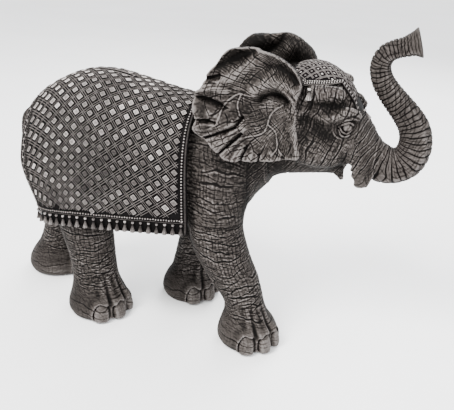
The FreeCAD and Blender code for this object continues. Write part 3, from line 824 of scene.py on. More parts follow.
def make_torso():
    """The torso, with the stopper's bore in the belly and the coin slot in the back."""
    low, high = cad_box("torso_shell")
    clay = Clay(low - 4, (NECK_X + 6, high[1] + 6, high[2] + 4), VOXEL * 1.35)
    clay.add_all(skin_forms())
    belly_ring = rod((STOPPER_X, 0, 114), (STOPPER_X, 0, 130), 25, 25)
    clay.add(belly_ring, 3)
    clay.keep(lambda x, y, z: x - NECK_X)
    for sections in LEGS.values():
        gap = leg_gap(sections)
        clay.keep(lambda x, y, z: -gap(x, y, z))
    clay.keep(lambda x, y, z: BELLY_Z - z + 0 * x)

    def bore(x, y, z):
        across = np.hypot(x - STOPPER_X, y) - BELLY_HOLE_R - 0.4
        return np.maximum(across, z - BELLY_Z - BELLY_HOLE_DEPTH)

    def slot(x, y, z):
        end = np.maximum(SLOT_LOW - x, x - SLOT_HIGH)
        return np.maximum(np.maximum(end, np.abs(y) - SLOT_HALF - 0.6), SLOT_FLOOR_Z - z)

    clay.keep(lambda x, y, z: -bore(x, y, z))
    clay.keep(lambda x, y, z: -slot(x, y, z))
    skin_piece("torso_shell", clay, body_folds)


def make_leg(name):
    """One leg, from its joint with the torso down to the top of its pad."""
    sections = LEGS[name]
    _, xs, ys, _ = np.array(sections, float).T
    low = (xs[:-2].min() - LEG_REACH, ys.min() - LEG_REACH, 0)
    high = (xs[:-2].max() + LEG_REACH, ys.max() + LEG_REACH, LEG_TOP + 10)
    clay = Clay(low, high, VOXEL)
    clay.add_all(skin_forms())
    leg_details(name, clay)
    keep_share(clay, leg_gap(sections))
    clay.keep(lambda x, y, z: SOLE_Z - z + 0 * x)
    skin_piece(name, clay, leg_folds(sections))


def make_head():
    """The head, which ends at the neck and where the trunk starts."""
    low, high = cad_box("head")
    clay = Clay((NECK_X - 6, low[1] - 8, 160), (214, high[1] + 8, high[2] + 4), FINE_VOXEL * 1.1)
    clay.add_all(skin_forms() + head_forms())
    for form, blend in head_hollows():
        clay.carve(form, blend)
    clay.add_all(eye_forms())
    keep_share(clay, lambda x, y, z: NECK_X - x + 0 * y)
    clay.keep(lambda x, y, z: (x - 206) * 0.9 - (z - 231) * 0.35 + 0 * y)
    skin_piece("head", clay, head_folds)


# ---------------------------------------------------------------- trunk and tail
TRUNK_PATH = ((188, 0, 240, 22), (200, 0, 232.5, 22.2), (212, 0, 228.5, 20.9), (224, 0, 229.5, 19.5),
              (234, 0, 236, 19), (239.5, 0, 247, 18.4), (240.5, 0, 260, 17.6),
              (236.5, 0, 274, 16.4), (228, 0, 286, 15.0), (217, 0, 297.5, 13.8),
              (205, 0, 310, 12.6), (196, 0, 323, 11.4), (193, 0, 336, 10.6),
              (197, 0, 347, 10.2), (206, 0, 353, 9.8), (216, 0, 356.5, 10.4),
              (223, 0, 359.5, 12.6), (227.5, 0, 361, 15.2))


def tube(path, around):
    """The points of a tube along a path of (x, y, z, radius): how far along each lies, its
    turn from the underside, the tube's middle and radius there, and the way outwards."""
    ahead = unit(np.gradient(path[:, :3], axis=0))
    under = np.stack([ahead[:, 2], np.zeros(len(path)), -ahead[:, 0]], axis=1)
    turn = np.tile(full_turn(around), len(path))
    repeated = (np.repeat(values, around, axis=0) for values in (travelled(path), path, under))
    along, middle, under = repeated
    out = np.cos(turn)[:, None] * under + np.sin(turn)[:, None] * np.array([0, 1.0, 0])
    return along, turn, middle[:, :3], middle[:, 3], out


def make_trunk():
    """The trunk as a ringed tube with a flat, rimmed underside and a flared nozzle."""
    rings, around = ((430, 128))
    path = smooth_path(TRUNK_PATH, rings)
    s, turn, centre, radius, out = tube(path, around)
    from_under = np.abs((turn + math.pi) % (2 * math.pi) - math.pi)
    flat = 1 - step(0.55, 1.05, from_under)
    rim = np.exp(-((from_under - 1.02) / 0.16) ** 2)
    groove = np.exp(-((from_under - 0.80) / 0.10) ** 2)
    length = s[-1]
    rough = centre + out * radius[:, None]
    net = creases(s, turn * radius, rough, 2.4, 0.8, 6, 0.45, 51)
    wobble = 2.6 * (noise(rough, 15, 3) - 0.5) + 1.6 * (noise(rough, 7, 4) - 0.5)
    spacing = 7.4 - 2.4 * s / length
    phase = s / spacing + 0.22 * wobble + 0.10 * np.cos(turn)
    ring = 1 - step(0.02, 0.46, np.abs(np.sin(math.pi * phase)))
    between = 1 - step(0.0, 0.22, np.abs(np.sin(math.pi * (phase + 0.5))))
    half = between * step(0.45, 0.62, noise(rough, 10, 6))
    upright = creases(turn * radius, s, rough, 4.2, 0.8, 8, 0.5, 55)
    tip = step(length - 12, length - 4, s)
    calm = 1 - 0.7 * tip
    near_base = 1 - step(8, 26, s)
    depth = calm * (1.35 * ring + 0.45 * half + 0.20 * net + 0.35 * upright) * (1 - 0.55 * flat)
    shape = radius * (1 - 0.10 * flat) + 0.9 * rim - 0.8 * groove + 0.4 - 1.2 * near_base
    roll = 0.5 * np.abs(np.sin(math.pi * phase)) ** 0.5 * calm
    points = centre + out * (shape + roll - depth)[:, None]
    lip_steps = ((0.6, 1.2), (0.2, 2.0), (-1.0, 2.1), (-2.8, 0.4), (-4.2, -3.5), (-6.0, -9.0))
    tones = 0.62 + 0.24 * roll - 1.05 * ring * calm - 0.40 * half - 0.22 * net - 0.38 * upright * calm
    tones += 0.15 * rim + 0.06 * tip + 0.14 * (noise(rough, 3, 9) - 0.5)
    rows, shades, last = [points], [tones], points[-around:]
    mouth, facing = path[-1, :3], unit(path[-1, :3] - path[-2, :3])
    spoke, reach = unit(last - mouth), np.linalg.norm(last - mouth, axis=1)
    for inward, forward in lip_steps:
        rows.append(mouth + spoke * (reach + inward)[:, None] + facing * forward)
        shades.append(np.full(around, 0.72 if forward > 0 else 0.12))
    points = np.concatenate(rows + [[path[0, :3]], [mouth - facing * 9.5]])
    tones = np.concatenate(shades + [[0.3], [0.05]])
    faces = ring_faces(rings + len(lip_steps), around)
    points, faces = outward(points, faces)
    make_piece("trunk", points, faces, np.clip(tones, 0, 1), TRUNK_SKIN, "resin_skin")


def make_tail():
    """A thin wrinkled tail that hangs behind the rump and ends in a tuft."""
    rings, around = 160, 28
    path = smooth_path(((-217, 0, 236, 8.0), (-227, 0, 228, 6.6), (-231.5, 0, 212, 5.4),
                        (-231, 0, 190, 4.7), (-229, 0, 166, 4.2), (-226, 0, 146, 4.7),
                        (-222.5, 0, 129, 5.9), (-219, 0, 115, 3.6), (-217.5, 0, 107, 1.0)), rings)
    s, turn, centre, radius, out = tube(path, around)
    tuft = step(96, 112, s)
    ring = (1 - step(0, 0.5, np.abs(np.sin(math.pi * s / 5.2 + 0.4 * np.sin(turn))))) * (1 - tuft)
    hair = np.abs(np.sin(turn * 5 + 0.05 * s)) * tuft
    points = centre + out * (radius - 0.5 * ring - 0.9 * (1 - hair) * tuft)[:, None]
    tones = 0.58 - 0.4 * ring - 0.4 * (1 - hair) * tuft
    points = np.concatenate([points, path[:1, :3], path[-1:, :3]])
    points, faces = outward(points, ring_faces(rings, around))
    make_piece("tail", points, faces, np.r_[tones, 0.3, 0.5], SKIN, "resin_skin")


# ---------------------------------------------------------------- ears
EAR_ROOT = np.array([117.0, 296.0])
EAR_OUTLINE = ((120, 318), (115, 327), (106, 335), (94, 342), (79, 347), (60, 348.5), (46, 346.5),
               (38, 339), (32, 330), (24, 319), (21.5, 311), (20, 306), (14, 301), (12, 293.5),
               (13, 282), (14.5, 271), (14, 261), (27, 248.5), (40, 235.5), (48, 229.5),
               (64, 229.5), (79, 230), (93, 232), (106, 234), (116, 236.5), (125.5, 240.5),
               (124, 253), (121, 268), (118.5, 283), (118, 296))
# Folds in the ear's face: (points of (x, z), half width, height out of the face).
EAR_FOLDS = (
    (((125, 282), (119, 297), (109, 309), (97, 315), (84, 313), (74, 306)), 7.0, 7.5),
    (((116, 287), (108, 297), (98, 302), (88, 302.5), (80, 299)), 5.5, -8.0),
    (((113, 318), (106, 325), (98, 330), (86, 331)), 7.0, -5.0),
    (((123, 322), (110, 338), (95, 346), (79, 349)), 4.5, 4.5),
    (((32, 326), (44, 334), (60, 341), (68, 343)), 9.0, -9.0),
    (((38, 312), (50, 318), (63, 330), (76, 342)), 6.0, 4.0),
    (((58, 350), (44, 348), (36, 341), (27, 330), (20, 318)), 3.0, 3.5),
    (((16, 313), (26, 315), (36, 317)), 3.4, -7.0),
    (((16, 305), (30, 306), (44, 304)), 4.0, 3.5),
    (((8, 295), (22, 294.5), (34, 290), (42, 286)), 4.2, -7.5),
    (((10, 283), (24, 281), (38, 275)), 5.0, 3.5),
    (((10, 270), (24, 271), (36, 269)), 2.8, -4.5),
    (((12, 263), (34, 266), (52, 270)), 5.0, 3.5),
    (((26, 252), (42, 259), (56, 267), (62, 276)), 3.0, -5.0),
    (((36, 244), (50, 254), (64, 264)), 4.0, 3.0),
    (((41, 236), (52, 248), (62, 259)), 2.8, -6.0),
    (((56, 226), (60, 236), (66, 246)), 3.4, 3.0),
    (((63, 226), (66, 237), (69, 246)), 2.4, -3.6),
    (((73, 226), (75, 240)), 3.0, 2.6),
    (((82, 226), (83, 238)), 2.4, -3.4),
    (((94, 228), (95, 240)), 3.4, 2.6),
    (((108, 232), (109, 248), (111, 258)), 3.6, -3.0),
    (((126, 236), (123, 254), (119, 272)), 6.5, 8.0),
)
# Places in the ear with painted shade, in scoops and hollows that also hold less brushed paint, as (x, z,
# size).
EAR_SHADED = ((38, 327, 7), (49, 336, 9), (60, 341, 7), (30, 316, 5), (24, 292, 7), (36, 289, 6),
              (22, 282, 4), (26, 268, 5), (46, 258, 3), (52, 250, 4), (58, 257, 4), (68, 248, 4),
              (73, 242, 3), (84, 240, 3), (95, 239, 3), (109, 250, 6), (99, 329, 8), (110, 322, 6),
              (98, 302, 7), (110, 295, 7), (73, 288, 13), (62, 278, 10), (84, 278, 10))
EAR_VEINS = (
    ((37, 268), (40, 276), (41, 284), (45, 291), (50, 296.5), (58, 301.5), (67, 300.5), (77, 302)),
    ((103, 293), (96, 288), (91, 281), (89, 271), (85, 262), (77, 258.5), (68, 256)),
    ((90, 271), (97, 265), (100, 255), (101, 247), (96, 239)),
    ((101, 248), (104, 243), (108, 239)),
    ((60, 301), (57, 290), (60, 279)),
)


def to_segment(x, z, a, b):
    """The squared distance in the XZ plane to the straight line from a to b."""
    dx, dz = b - a
    t = np.clip(((x - a[0]) * dx + (z - a[1]) * dz) / max(dx * dx + dz * dz, 1e-9), 0, 1)
    return (x - a[0] - t * dx) ** 2 + (z - a[1] - t * dz) ** 2


def from_path(x, z, points):
    """The distance in the XZ plane to a smooth curve through the points."""
    dense = smooth_path(np.array(points, float), 6 * len(points))
    nearest = np.full(x.shape, 1e6)
    for a, b in zip(dense, dense[1:]):
        nearest = np.minimum(nearest, to_segment(x, z, a, b))
    return np.sqrt(nearest)


def from_outline(x, z, corners):
    """The signed distance in the XZ plane to a closed outline: negative inside."""
    loop = np.array(corners + corners[:3], float)
    dense = smooth_path(loop, 8 * len(loop))
    half = len(dense) // 2
    start = np.argmin(np.linalg.norm(dense[:half] - loop[1], axis=1))
    end = half + np.argmin(np.linalg.norm(dense[half:] - loop[1], axis=1))
    ring = dense[start:end]
    nearest, inside = np.full(x.shape, 1e6), np.zeros(x.shape, bool)
    for a, b in zip(ring, np.roll(ring, -1, axis=0)):
        nearest = np.minimum(nearest, to_segment(x, z, a, b))
        if a[1] != b[1]:
            crossing = a[0] + (z - a[1]) / (b[1] - a[1]) * (b[0] - a[0])
            inside ^= ((a[1] > z) != (b[1] > z)) & (x < crossing)
    return np.where(inside, -1, 1) * np.sqrt(nearest)


def ear_face(x, z):
    """How far the middle of the ear stands out from the middle plane, at (x, z)."""
    out = 47.5 + np.clip(118 - x, 0, None) ** 1.6 * 0.0128
    spread = np.hypot(x - EAR_ROOT[0], z - EAR_ROOT[1])
    out = out + 3.0 * step(252, 228, z) * step(20, 60, spread)
    for points, width, height in EAR_FOLDS:
        out = out + height * np.exp(-((from_path(x, z, points) / width) ** 2))
    return out


def ear_folds(points):
    """Folds for an ear: creases that fan out from its root, arcs across them, and veins, with painted
    shade in its hollows and on its back.
    """
    x, y, z = points.T
    dx, dz = x - EAR_ROOT[0] - 8, z - EAR_ROOT[1]
    spread, bearing = np.hypot(dx, dz), np.arctan2(dz, dx) % (2 * math.pi)
    around = bearing * 62
    radial = creases(around, spread, points, 5.2, 0.9, 16, 0.50, 31)
    fine = creases(around, spread, points, 2.5, 0.75, 9, 0.48, 35)
    arcs = creases(spread, around, points, 6.5, 0.85, 10, 0.34, 38)
    rough = noise(points, 2.2, 44) - 0.5
    vein = np.zeros(len(points))
    for path in EAR_VEINS:
        vein = np.maximum(vein, np.exp(-((from_path(x, z, path) / 0.80) ** 2)))
    vein *= step(0.0, 1.0, np.abs(y) - ear_face(x, z))
    # painted shade on the ear's back, the side that faces the head
    behind = step(0.0, 2.0, ear_face(x, z) - np.abs(y))
    depth = 0.42 * radial + 0.18 * fine + 0.30 * arcs + 0.25 * rough - 0.75 * vein
    dark = 0.45 * radial + 0.34 * fine + 0.34 * arcs + 0.35 * rough - 0.16 * vein
    # painted shade in the ear's scoops and hollows
    dark = dark + shade_spots(x, z, EAR_SHADED, 0.75, 0.40)
    return depth, dark + 0.7 * behind


# How far the top of the left ear leans back, and stands up, beside the right ear's.
EAR_LEAN = 8 * MM


def make_ears():
    """The cupped, fluted right ear, and the left as its mirror image, with its top leaning
    back at the rear and standing higher at the front."""
    low, high = cad_box("ear_right")
    clay = Clay((low[0] - 6, -100, low[2] - 4), (high[0] + 6, -38, high[2] + 4), FINE_VOXEL)
    _, y, _ = clay.grid()
    flat_x, flat_z = np.meshgrid(clay.axes[0], clay.axes[2], indexing="ij")
    edge = from_outline(flat_x, flat_z, EAR_OUTLINE)
    face = ear_face(flat_x, flat_z)
    slope_x, slope_z = np.gradient(face, clay.size)
    steep = np.sqrt(1 + slope_x**2 + slope_z**2)
    root = np.exp(-((np.hypot(flat_x - 120, (flat_z - 300) * 0.45) / 12) ** 2))
    half = (2.3 + 0.8 * step(-14, -3, edge) + 3.0 * root) * np.minimum(steep, 2.2)
    across = (np.abs(y + face[:, None, :]) - half[:, None, :]) / steep[:, None, :]
    rounding = 1.8
    a = edge[:, None, :] + rounding
    b = across + rounding
    outside = np.hypot(np.maximum(a, 0), np.maximum(b, 0))
    ear = outside + np.minimum(np.maximum(a, b), 0) - rounding
    clay.values = ear.astype(np.float32)
    right = skin_piece("ear_right", clay, ear_folds, EAR_SKIN)
    left = right.data.copy()
    left.name = "ear_left"
    points = np.array([v.co for v in left.vertices]) * np.array([1, -1, 1])
    rear, front = 1 - step(0.030, 0.075, points[:, 0]), step(0.052, 0.098, points[:, 0])
    upper = step(0.295, 0.335, points[:, 2])
    points[:, 0] -= EAR_LEAN * upper * rear
    points[:, 2] += EAR_LEAN * upper * front
    left.vertices.foreach_set("co", points.astype(np.float32).ravel())
    left.flip_normals()
    left.update()
    show("ear_left", left, "resin_skin")


# ---------------------------------------------------------------- cloth over the body
class Drape:
    """A cloth's surface over a lying body, by x and by v, the arc length from the spine in
    millimetres: positive on the animal's right. Its edge hangs at the height edge(x), and
    shear(x, z) says how far forward of x a point hangs."""

    def __init__(self, sections, squareness, low, high, edge, shear=None):
        self.low, self.high, self.shear = low, high, shear
        xs, tops, bottoms, wides = np.array(sections, float).T
        self.columns, self.rows = np.linspace(low, high, 90), 160
        turn = np.linspace(0, math.pi * 0.75, 700)
        table, reach = [], []
        for x in self.columns:
            top, bottom, wide = (float(smooth(xs, v, x)) for v in (tops, bottoms, wides))
            c, s = np.cos(turn), np.sin(turn)
            y = np.abs(s) ** (2 / squareness) * wide
            z = np.sign(c) * np.abs(c) ** (2 / squareness) * (top - bottom) / 2 + (top + bottom) / 2
            arc = np.r_[0, np.cumsum(np.hypot(np.diff(y), np.diff(z)))]
            ends = np.nonzero(z < edge(x))[0]
            end = arc[ends[0]] if len(ends) else arc[-1]
            wanted = np.linspace(0, end, self.rows)
            table.append(np.stack([np.interp(wanted, arc, y), np.interp(wanted, arc, z)], axis=1))
            reach.append(end)
        self.table, self.reaches = np.array(table), np.array(reach)

    def reach(self, x):
        return np.interp(x, self.columns, self.reaches)

    def base(self, x, v):
        share = np.clip(np.abs(v) / self.reach(x), 0, 1) * (self.rows - 1)
        i = np.clip((x - self.low) / (self.high - self.low), 0, 1) * (len(self.columns) - 1)
        i0 = np.clip(np.floor(i).astype(int), 0, len(self.columns) - 2)
        j0 = np.clip(np.floor(share).astype(int), 0, self.rows - 2)
        fi, fj = (i - i0)[:, None], (share - j0)[:, None]
        t = self.table
        yz = ((t[i0, j0] * (1 - fj) + t[i0, j0 + 1] * fj) * (1 - fi)
              + (t[i0 + 1, j0] * (1 - fj) + t[i0 + 1, j0 + 1] * fj) * fi)
        moved = x if self.shear is None else x + self.shear(x, yz[:, 1])
        return np.stack([moved, -np.sign(v) * yz[:, 0], yz[:, 1]], axis=1)

    def up(self, x, v):
        """The unit vector out of the cloth at each place."""
        d = 0.8
        inner = np.clip(x, self.low + d, self.high - d)
        flat = np.where(v < 0, -1, 1) * np.clip(np.abs(v), 1.2, self.reach(inner) - d)
        along = self.base(inner + d, flat) - self.base(inner - d, flat)
        down = self.base(inner, flat + d) - self.base(inner, flat - d)
        return unit(np.cross(down, along))

    def at(self, x, v, lift):
        """Points that lie lift millimetres above the cloth at (x, v)."""
        x, v = np.asarray(x, float), np.asarray(v, float)
        v = np.where(np.abs(v) < 1e-6, 1e-6, v)
        return self.base(x, v) + self.up(x, v) * np.broadcast_to(lift, x.shape)[:, None]


CORD_SHAPE = ((-1.0, -0.9), (-0.92, 0.1), (-0.5, 0.82), (0.5, 0.82), (0.92, 0.1), (1.0, -0.9))
CORD_TONES = (0.05, 0.25, 0.80, 0.80, 0.25, 0.05)


def put_cord(parts, drape, xs, vs, width, lift, height=None, shade=1.0):
    """A cord laid on the cloth along the curve (xs, vs)."""
    xs, vs = np.asarray(xs, float), np.asarray(vs, float)
    dx, dv = np.gradient(xs), np.gradient(vs)
    size = np.hypot(dx, dv)
    size[size == 0] = 1
    side_x, side_v = -dv / size, dx / size
    height = width if height is None else height
    rings = []
    for across, up in CORD_SHAPE:
        rings.append(drape.at(xs + side_x * across * width, vs + side_v * across * width,
                              lift + up * height))
    points = np.stack(rings, axis=1).reshape(-1, 3)
    ends = np.stack([points[:6].mean(0), points[-6:].mean(0)])
    faces = ring_faces(len(xs), 6)
    tones = np.r_[np.tile(CORD_TONES, len(xs)), 0.2, 0.2] * shade
    parts.put(*outward(np.concatenate([points, ends]), faces), tones)


BEAD_RINGS, BEAD_AROUND = 4, 8


def put_bead(parts, centre, up, radius, shade):
    """A small round bead whose base is sunk in the cloth."""
    side = unit(np.cross(up, (1.0, 0.2, 0.1)))
    spokes = circle(BEAD_AROUND, side, np.cross(up, side))
    rows, tones = [], []
    for i in range(BEAD_RINGS):
        tilt = math.pi * (i + 0.6) / (BEAD_RINGS + 0.2)
        rows.append(centre + up * math.cos(tilt) * radius + spokes * math.sin(tilt) * radius)
        tones += [0.55 + 0.45 * math.cos(tilt)] * BEAD_AROUND
    points = np.concatenate(rows + [[centre + up * radius], [centre - up * radius]])
    tones = np.r_[tones, 1.0, 0.1] * shade
    parts.put(*outward(points, ring_faces(BEAD_RINGS, BEAD_AROUND)), tones)


def put_beads(parts, drape, xs, vs, radius, lift, shade=1.0):
    """A row of beads on the cloth, one at each (x, v)."""
    for centre, up in zip(drape.at(xs, vs, lift), drape.up(xs, vs)):
        put_bead(parts, centre, up, radius, shade)


def put_stud(parts, drape, x, v, turn, size, height, shade):
    """A square cushion-shaped stud, turned to sit square in its cell of the lattice."""
    corners = np.array([(-1, -1), (1, -1), (1, 1), (-1, 1)], float)
    c, s = math.cos(turn), math.sin(turn)
    rows, tones = [], []
    for scale, up, tone in ((1.04, -0.8, 0.0), (1.0, 0.55, 0.08), (0.88, 0.95, 1.0), (0.62, 0.90, 0.84)):
        square = corners * size * scale
        px = x + square[:, 0] * c - square[:, 1] * s
        pv = v + square[:, 0] * s + square[:, 1] * c
        rows.append(drape.at(px, pv, up * height))
        tones += [tone * shade] * 4
    top = drape.at(np.array([x]), np.array([v]), height)
    base = drape.at(np.array([x]), np.array([v]), -0.8 * height)
    points = np.concatenate(rows + [base, top])
    parts.put(*outward(points, ring_faces(4, 4)), np.r_[tones, 0.05, 0.80 * shade])


def put_tassel(parts, top, down, out, length, radius, shade=1.0):
    """A bead over a flared, fluted bell, hanging from top. down and out are unit vectors."""
    around, flutes, depth = 14, 7, 0.12
    spokes = circle(around, np.cross(down, out), out)
    flute = depth * np.cos(full_turn(around) * flutes)
    profile = ((0.00, 0.20), (0.05, 0.50), (0.13, 0.64), (0.21, 0.50), (0.26, 0.26), (0.33, 0.26),
               (0.40, 0.38), (0.60, 0.60), (0.82, 0.86), (0.97, 1.04), (1.00, 0.90))
    rows, tones = [], []
    for along, wide in profile:
        shape = flute if along > 0.4 else np.zeros(around)
        rows.append(top + down * along * length + spokes * radius * wide * (1 + shape[:, None]))
        base = 0.98 if 0.04 < along < 0.22 else (0.25 if along < 0.35 else 0.46 + 0.44 * along)
        tones += list(base + shape)
    points = np.concatenate(rows + [[top], [top + down * length * 0.98]])
    tones = np.clip(np.r_[tones, 0.6, 0.2], 0, 1) * shade
    parts.put(*outward(points, ring_faces(len(profile), around)), tones)


def sheet(parts, drape, xs, vs_share, thickness, tone, holes=None, sag=None):
    """The cloth itself: an outer and an inner face joined all round. vs_share runs from -1
    at one hem to 1 at the other, tone(x, v) gives the relief, holes marks the cells that are
    left out, and sag(x, v) says how far the outer face is lifted."""
    grid_x, grid_s = np.meshgrid(xs, vs_share, indexing="ij")
    x, v = grid_x.ravel(), (grid_s * drape.reach(grid_x)).ravel()
    lift = np.zeros(len(x)) if sag is None else sag(x, v)
    outer, inner = drape.at(x, v, lift), drape.at(x, v, -thickness)
    columns, grid_v = len(vs_share), v.reshape(grid_x.shape)
    kept = np.ones((len(xs) - 1, columns - 1), bool)
    if holes is not None:
        kept = ~holes(grid_x[:-1, :-1], grid_x[1:, 1:], grid_v[:-1, :-1], grid_v[1:, 1:])
    i, j = np.nonzero(kept)
    a = i * columns + j
    top = np.stack([a, a + columns, a + columns + 1, a + 1], axis=1)
    under = top[:, ::-1] + len(x)
    edges = np.concatenate([top[:, [k, (k + 1) % 4]] for k in range(4)])
    keys = edges[:, 0] * len(x) + edges[:, 1]
    back = edges[:, 1] * len(x) + edges[:, 0]
    rim = edges[~np.isin(keys, back)]
    wall = np.stack([rim[:, 1], rim[:, 0], rim[:, 0] + len(x), rim[:, 1] + len(x)], axis=1)
    points = np.concatenate([outer, inner])
    tones = np.concatenate([tone(x, v), np.full(len(x), 0.1)])
    parts.put(*outward(points, np.concatenate([top, under, wall])), tones)


LATTICE_TURN = math.radians(45.0)


def lattice(parts, drape, inside, pitch, stud, cord, gap, seed):
    """Studs in the cells of a turned square lattice, with a pair of cords between them.
    inside(x, v, margin) says where the pattern may go, with a margin in millimetres."""
    rng = np.random.default_rng(seed)
    c, s = math.cos(LATTICE_TURN), math.sin(LATTICE_TURN)
    span = 1.2 * max(drape.reaches.max(), drape.high - drape.low)
    middle = (drape.low + drape.high) / 2
    count = int(span / pitch)
    steps = np.arange(-span, span, 3.0)

    def laid(p, q):
        return middle + p * c + q * s, -(p * s - q * c)

    for family in (0, 1):
        for k in range(-count, count + 1):
            for offset in (-gap, gap):
                across = (k + 0.5) * pitch + offset
                level = np.full(len(steps), across)
                x, v = laid(steps, level) if family == 0 else laid(level, steps)
                good = inside(x, v, 0.0)
                cuts = np.nonzero(np.diff(np.r_[0, good.astype(int), 0]))[0].reshape(-1, 2)
                for first, last in cuts:
                    if last - first > 2:
                        put_cord(parts, drape, x[first:last], v[first:last], cord,
                                 0.25 + 0.12 * family, cord * 1.05, 0.90)
    for i in range(-count, count + 1):
        for j in range(-count, count + 1):
            x, v = laid(i * pitch, j * pitch)
            if inside(np.array([x]), np.array([v]), stud * 0.75)[0]:
                size = stud * rng.uniform(0.9, 1.06)
                where = np.array([[x, v, 0.0]])
                lightened = 0.30 * (noise(where, 42, 5)[0] - 0.5) + 0.20 * (noise(where, 14, 6)[0] - 0.5)
                # painted highlight: studs lighter towards the top of the blanket, where light falls; the
                # noise above is random wear
                lightened += 0.22 * (0.5 - abs(v) / drape.reaches.max())
                put_stud(parts, drape, x + rng.uniform(-0.25, 0.25), v + rng.uniform(-0.25, 0.25),
                         -LATTICE_TURN + rng.uniform(-0.07, 0.07), size,
                         rng.uniform(0.46, 0.62) * stud, rng.uniform(0.78, 0.98) + lightened)


# ---------------------------------------------------------------- blanket and cap
BLANKET_LOW, BLANKET_HIGH = cad_box("blanket")[0][0], cad_box("blanket")[1][0] - 6.0
BLANKET = ((-217, 240, 9, 47), (-213, 246, 9, 50.5), (-200, 262, 9, 63), (-175, 281, 9, 74),
           (-140, 295, 9, 78), (-110, 296.5, 9, 79), (-82, 292, 9, 79), (-60, 287.5, 9, 79),
           (-20, 280.5, 9, 76.5), (4, 278.5, 9, 74), (8, 278.5, 9, 73.5))
HEM_DEPTH, FRONT_BAND, REAR_BAND, BEAD_STEP = 19.6, 8.0, 15.0, 3.3


def hem_height(x):
    """The height of the blanket's hem, which rises towards the front."""
    share = (x - BLANKET_LOW) / (BLANKET_HIGH - BLANKET_LOW)
    return HEM_REAR_Z + share * (HEM_FRONT_Z - HEM_REAR_Z)


def blanket_shear(x, z):
    """The blanket's lower rear corner is cut back and its lower front corner reaches ahead."""
    rear = np.clip((-120 - x) / 93, 0, 1) ** 1.4 * step(196, 122, z)
    front = np.clip((x + 60) / 64, 0, 1) ** 2 * step(262, 140, z)
    return 27 * rear + 7.5 * front


def spread_out(low, high, count):
    """Places from low to high that stand closer together towards high."""
    share = np.linspace(0, 1, count)
    return low + (high - low) * share * (1.24 - 0.24 * share)


def put_borders(parts, drape):
    """Beads and cords along both sides and both ends, and a wavy cord across the rear."""
    low, high = BLANKET_LOW, BLANKET_HIGH
    x = np.linspace(low + 1.5, high - 1.5, 90)
    bead_x = spread_out(low + 4, high - 4, int((high - low) / BEAD_STEP))
    for side in (-1, 1):
        for inset, width, shade in ((14.4, 0.55, 0.72), (0.8, 0.8, 0.42)):
            put_cord(parts, drape, x, side * (drape.reach(x) - inset), width, 0.2, shade=shade)
        put_beads(parts, drape, bead_x, side * (drape.reach(bead_x) - 17.2), 1.15, 0.5, 0.9)
    for at, radius in ((high - 4.6, 1.2), (low + 3.4, 1.1), (low + 13.0, 1.0)):
        limit = drape.reach(at) - 15.5
        vs = np.arange(-limit, limit, BEAD_STEP)
        put_beads(parts, drape, np.full(len(vs), at), vs, radius, 0.5, radius - 0.3)
    for at, width, shade in ((high - 1.3, 1.4, 0.60), (low + 1.0, 1.1, 0.8), (low + 14.6, 0.5, 0.7),
                             (low + 5.4, 0.5, 0.7), (low + 11.2, 0.5, 0.7)):
        limit = drape.reach(at) - (0.8 if width > 1 else 14.6)
        vs = np.linspace(-limit, limit, 150)
        put_cord(parts, drape, np.full(len(vs), at), vs, width, 0.25, shade=shade)
    wave_x = low + 8.3
    limit = drape.reach(low + 8) - 18
    vs = np.linspace(-limit, limit, 420)
    put_cord(parts, drape, wave_x + 2.0 * np.sin(vs / 2.3), vs, 0.7, 0.3)
    vs = np.arange(-limit, limit, 7.2)
    put_beads(parts, drape, np.full(len(vs), wave_x), vs, 1.3, 0.4)


def put_slot_rim(parts, drape):
    """A cord laid round the coin slot."""
    low, high, edge = SLOT_LOW - 1.6, SLOT_HIGH + 1.6, SLOT_HALF + 1.8
    xs = np.r_[np.linspace(low, high, 26), np.full(5, high + 0.2),
               np.linspace(high, low, 26), np.full(5, low - 0.2)]
    vs = np.r_[np.full(26, edge), np.linspace(edge, -edge, 5),
               np.full(26, -edge), np.linspace(-edge, edge, 5)]
    put_cord(parts, drape, xs, vs, 1.0, 0.3)


def make_blanket():
    """The blanket: plain cloth, the lattice on it as a piece of its own, and the borders."""
    drape = Drape(BLANKET, 2.6, BLANKET_LOW, BLANKET_HIGH, hem_height, blanket_shear)
    parts, field = Parts(), Parts()

    def inside(x, v, margin):
        e = drape.reach(x) - np.abs(v)
        good = (e > HEM_DEPTH + margin) & (x < BLANKET_HIGH - FRONT_BAND - margin)
        slot = (x > SLOT_LOW - 3 - margin) & (x < SLOT_HIGH + 3 + margin) & (np.abs(v) < 6 + margin)
        return good & (x > BLANKET_LOW + REAR_BAND + margin) & ~slot

    def tone(x, v):
        e = drape.reach(x) - np.abs(v)
        return np.where(inside(x, v, -1.0), 0.03, np.where(e < 14, 0.02, 0.10))

    def relief(x, v):
        e = drape.reach(x) - np.abs(v)
        swell = 0.7 * (noise(np.stack([x, v, 0 * x], axis=1), 45, 3) - 0.5) - 0.35
        return swell - 0.9 * (1 - step(13.5, 15.0, e)) * step(1.4, 2.4, e)

    def slot_cells(x0, x1, v0, v1):
        side = SLOT_HALF + 0.6
        return (x0 > SLOT_LOW - 0.1) & (x1 < SLOT_HIGH + 0.1) & (v0 > -side) & (v1 < side)

    xs = np.unique(np.r_[np.linspace(BLANKET_LOW, SLOT_LOW, 40), np.linspace(SLOT_LOW, SLOT_HIGH, 20),
                         np.linspace(SLOT_HIGH, BLANKET_HIGH, 45)])
    sheet(parts, drape, xs, np.linspace(-1, 1, 189), 4.2, tone, slot_cells, relief)
    lattice(field, drape, inside, pitch=12.0, stud=2.9, cord=0.46, gap=1.12, seed=SEED)
    field.make("blanket_lattice", SILVER, "resin_silvered", node="blanket")
    put_borders(parts, drape)
    put_slot_rim(parts, drape)
    parts.make("blanket", SILVER, "resin_silvered")
    make_tassels(drape)


TASSELS = 21


